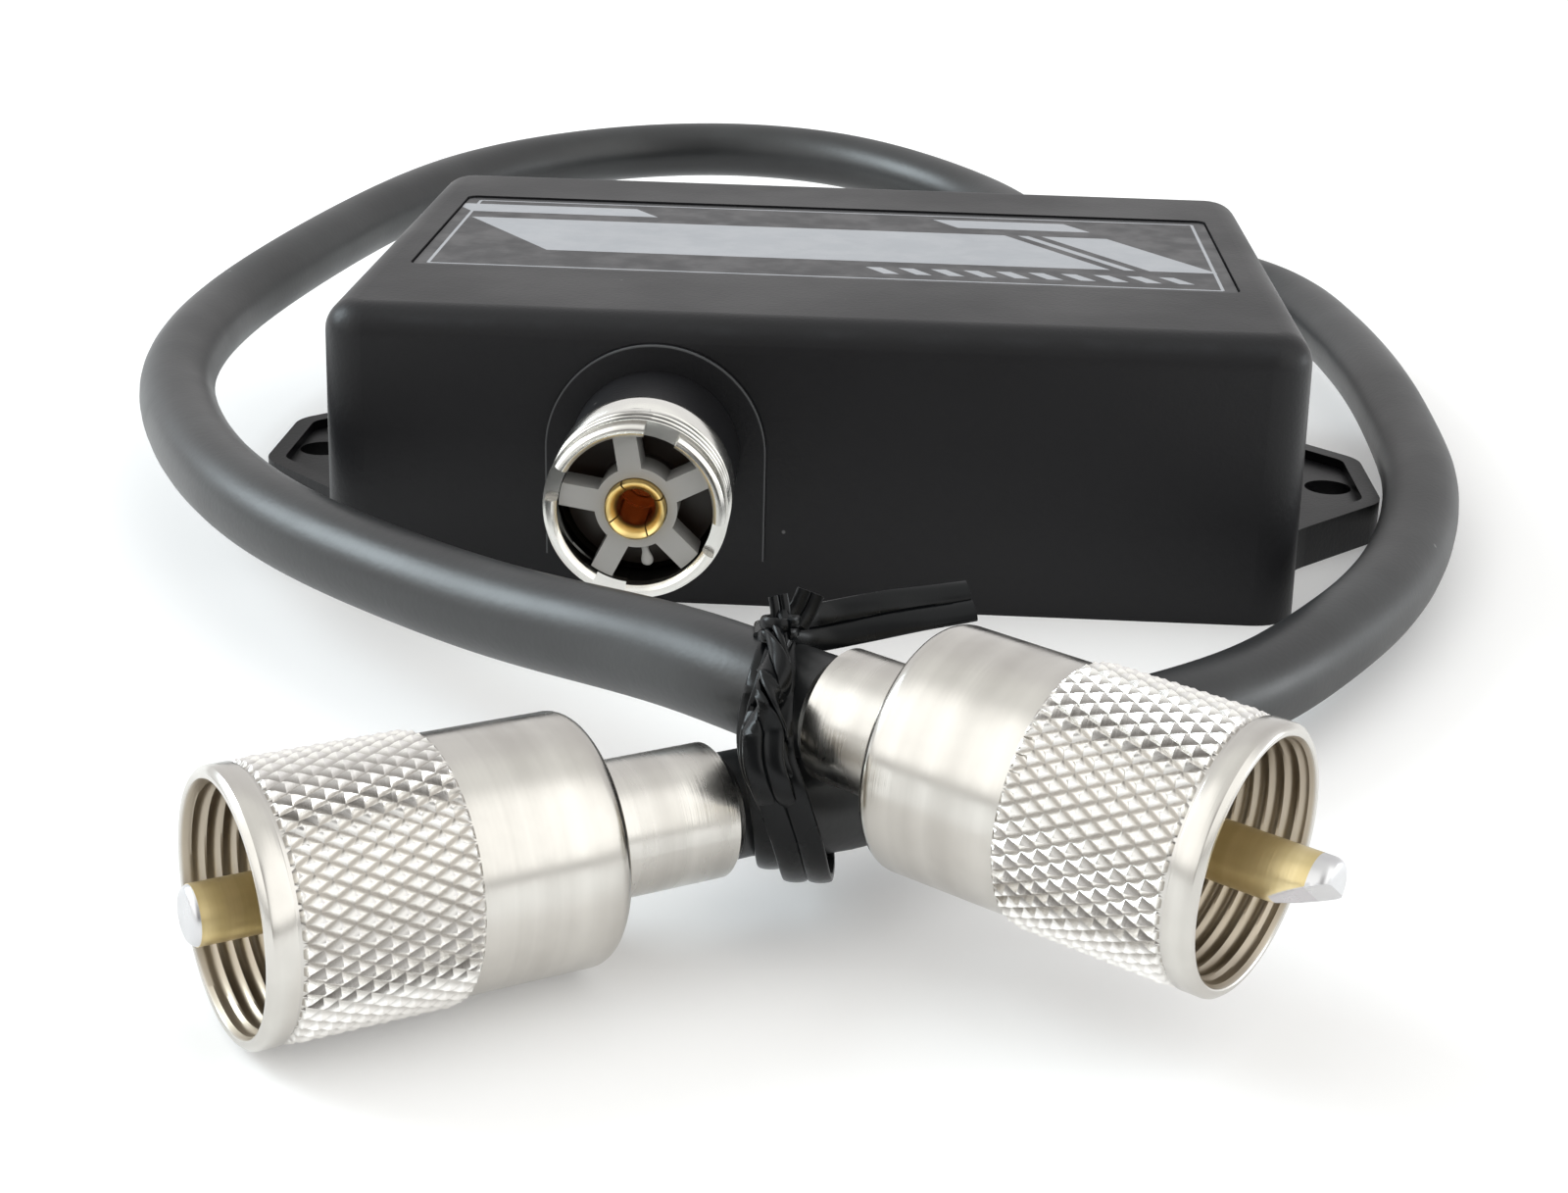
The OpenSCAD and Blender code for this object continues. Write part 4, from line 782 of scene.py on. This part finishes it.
loops = tie_loops()
gathered = [(0, 0.62), (0.06, 1), (0.43, 1), (0.48, 0.62), (0.53, 0.62), (0.58, 1), (0.93, 1), (1, 0.5)]
folds = [(0.415, 0.9, 0.3), (0.43, -0.7, -0.3), (0.395, 0.4, 0.2), (0.915, -0.8, 0.28), (0.932, 0.8, -0.34),
         (0.948, -0.5, 0.3)]
ties = [strand("twist_tie", loops, TO_RIGHT, creased(loops, gathered, folds), ["lead_tie"])]
core = smooth_route([(0.9, -98.5, 11.4), (0.5, -99.2, 12.7), (-0.1, -99.1, 14.4), (-0.2, -98.5, 16.0),
                     (-0.1, -97.5, 17.5), (0.2, -95.9, 18.9), (0.3, -94.0, 20.0), (0.35, -92.2, 20.8),
                     (0.4, -90.6, 21.0)], 0.15)
share = np.linspace(0, 1, len(core))[:, None]
twist = 2 * np.pi * KNOT_TURNS * np.clip((share - KNOT_FROM) / (1 - KNOT_FROM), 0, 1)
out = unit(np.cross(np.gradient(core, axis=0), TO_RIGHT))
for name, phase, size in (("twist_knot_front", 0.0, 0.95), ("twist_knot_back", np.pi, 0.8)):
    facing = np.cos(twist + phase) * out + np.sin(twist + phase) * TO_RIGHT
    width = np.cos(twist + phase) * TO_RIGHT - np.sin(twist + phase) * out
    narrowing = [(0, size), (0.4, size), (0.6, 0.72 * size), (1, 0.6 * size)]
    section = creased(core, narrowing, [(0.42, 0.8, 0.2), (0.55, -0.9, 0.22)])
    ties.append(strand(name, core + KNOT_APART * facing, width, section))
wrap = 2 * np.pi * np.linspace(0, WRAP_TURNS, 70)[:, None]
around = np.concatenate([np.cos(wrap), -np.sin(wrap) * 0.95, np.sin(wrap) * 0.3], -1)
wrap_path = WRAP_AT + (WRAP_R + WRAP_GROWTH * wrap) * around + wrap * [0.015, 0.015, 0.05]
ties.append(strand("twist_wrap", wrap_path, STANDING, STRIP * (0.52, 0.9)))
tail_route = smooth_route([(0.9, -90.0, 20.3), (2.5, -88.3, 19.8), (5.0, -87.3, 20.0), (8.8, -86.2, 20.5),
                           (13.4, -85.0, 21.0)], 0.3)
lay = np.linspace(0, 1, len(tail_route))[:, None]
tail_section = creased(tail_route, [(0, 0.6), (0.16, 1), (1, 1)]) * (1.0, 1.35)
ties.append(strand("twist_tail", tail_route, (1 - lay) * STANDING + lay * LYING, tail_section))
for name, size, points in (
        ("twist_end_left", 0.42, [(0.3, -90.6, 20.6), (0.3, -90.2, 21.7), (0.1, -89.9, 22.7)]),
        ("twist_end_right", 0.62, [(1.3, -89.8, 20.7), (1.9, -89.3, 21.7), (2.3, -89.0, 22.7)])):
    ties.append(strand(name, smooth_route(points, 0.2), np.array([0.9, 0.4, 0.1]), STRIP * (size, 0.9)))
for side in EXITS:
    route = routes[side]

# Floor and light: a white table top between two window-like lamps, a cool strong one at the left and a soft
# one at the right, in a grey room with a pale ceiling, bright screens at both sides and a dark low front.
# The camera stands low in front of the socket.

FLOOR_GLOW = 0.15
paper, tree, shader, place = new_finish("white_table", Specular_IOR_Level=0.1, Roughness=0.8)
white = tint(tree, noise(tree, place, 40.0, 3.0), (0.86, 0.86, 0.86, 1), (0.88, 0.88, 0.88, 1))
tree.links.new(white, shader.inputs["Base Color"])
light_path = add(tree, "ShaderNodeLightPath").outputs
seen = maths(tree, "MAXIMUM", light_path["Is Camera Ray"],
             maths(tree, "MAXIMUM", light_path["Is Glossy Ray"], light_path["Is Transmission Ray"]))
shader.inputs["Emission Color"].default_value = (1, 1, 1, 1)
tree.links.new(maths(tree, "MULTIPLY", seen, FLOOR_GLOW), shader.inputs["Emission Strength"])
table = bpy.data.meshes.new("table_top")
table.from_pydata([(-3, -3, 0), (3, -3, 0), (3, 3, 0), (-3, 3, 0)], [], [(0, 1, 2, 3)])
table.materials.append(paper)
table_top = bpy.data.objects.new("table_top", table)
bpy.context.scene.collection.objects.link(table_top)

room = bpy.data.worlds.new("pale_room")
room.use_nodes = True
tree = room.node_tree
direction = tree.nodes.new("ShaderNodeTexCoord").outputs["Generated"]
way = add(tree, "ShaderNodeSeparateXYZ", {0: direction}).outputs
walls = tint(tree, ramp(tree, way[1], -0.3, 0.3), (0.5, 0.49, 0.48, 1), (0.84, 0.83, 0.83, 1))
at_sides = maths(tree, "MULTIPLY", ramp(tree, maths(tree, "ABSOLUTE", way[0]), 0.25, 0.5),
                 ramp(tree, way[1], -0.05, 0.25, 1.0, 0.0))
screens = maths(tree, "MULTIPLY", at_sides, ramp(tree, way[2], 0.03, 0.2))
low_front = maths(tree, "MULTIPLY", ramp(tree, way[1], -0.85, -0.7, 1.0, 0.0),
                  ramp(tree, way[2], 0.3, 0.45, 1.0, 0.0))
walls = tint(tree, low_front, walls, (0.16, 0.15, 0.14, 1))
ceiling = tint(tree, ramp(tree, way[2], 0.75, 0.92), walls, (1.0, 1.0, 0.98, 1))
background = tree.nodes["Background"].inputs
tree.links.new(tint(tree, screens, ceiling, (1.65, 1.65, 1.62, 1)), background["Color"])
background["Strength"].default_value = 1.0
bpy.context.scene.world = room


def soft_lamp(name, spot, width, depth, watts, colour):
    """An area lamp of a size that looks from a spot to the middle of the table."""
    lamp = bpy.data.lights.new(name, "AREA")
    lamp.shape, lamp.size, lamp.size_y, lamp.energy, lamp.color = "RECTANGLE", width, depth, watts, colour
    holder = bpy.data.objects.new(name, lamp)
    bpy.context.scene.collection.objects.link(holder)
    back = unit(np.array(spot))
    right = unit(np.cross(np.array([0.0, 0.0, 1.0]), back))
    turn = np.eye(4)
    turn[:3, :3] = np.stack([right, np.cross(back, right), back], -1)
    turn[:3, 3] = spot
    holder.matrix_world = mathutils.Matrix(turn.tolist())


soft_lamp("left_window", (-0.747, 0.159, 0.477), 0.42, 0.38, 4.2, (0.82, 0.94, 1.0))
soft_lamp("right_window", (0.9, 0.13, 0.115), 0.45, 0.2, 1.3, (0.92, 0.97, 1.0))

CAMERA_AT, YAW, PITCH_DOWN, ROLL = (0.007654, -0.244116, 0.081099), 2.148, 20.674, 1.571
IMAGE_PX, MIDDLE_PX, FOCAL_PX, SENSOR_MM = (1600, 1217), (820.6, 605.8), 2477.4, 36.0
yaw, down, roll = np.radians([YAW, PITCH_DOWN, ROLL])
ahead = np.array([-np.sin(yaw) * np.cos(down), np.cos(yaw) * np.cos(down), -np.sin(down)])
right = np.array([np.cos(yaw), np.sin(yaw), 0.0])
up = np.cross(right, ahead)
stand = np.eye(4)
stand[:3, 0] = np.cos(roll) * right + np.sin(roll) * up
stand[:3, 1] = np.cos(roll) * up - np.sin(roll) * right
stand[:3, 2] = -ahead
stand[:3, 3] = CAMERA_AT
lens = bpy.data.cameras.new("camera")
lens.sensor_width, lens.lens = SENSOR_MM, SENSOR_MM * FOCAL_PX / IMAGE_PX[0]
lens.shift_x = (IMAGE_PX[0] / 2 - MIDDLE_PX[0]) / IMAGE_PX[0]
lens.shift_y = (MIDDLE_PX[1] - IMAGE_PX[1] / 2) / IMAGE_PX[0]
lens.clip_start, lens.clip_end = 0.01, 20.0
camera = bpy.data.objects.new("camera", lens)
camera.matrix_world = mathutils.Matrix(stand.tolist())
bpy.context.scene.collection.objects.link(camera)
bpy.context.scene.camera = camera
bpy.context.scene.view_settings.view_transform = "Standard"
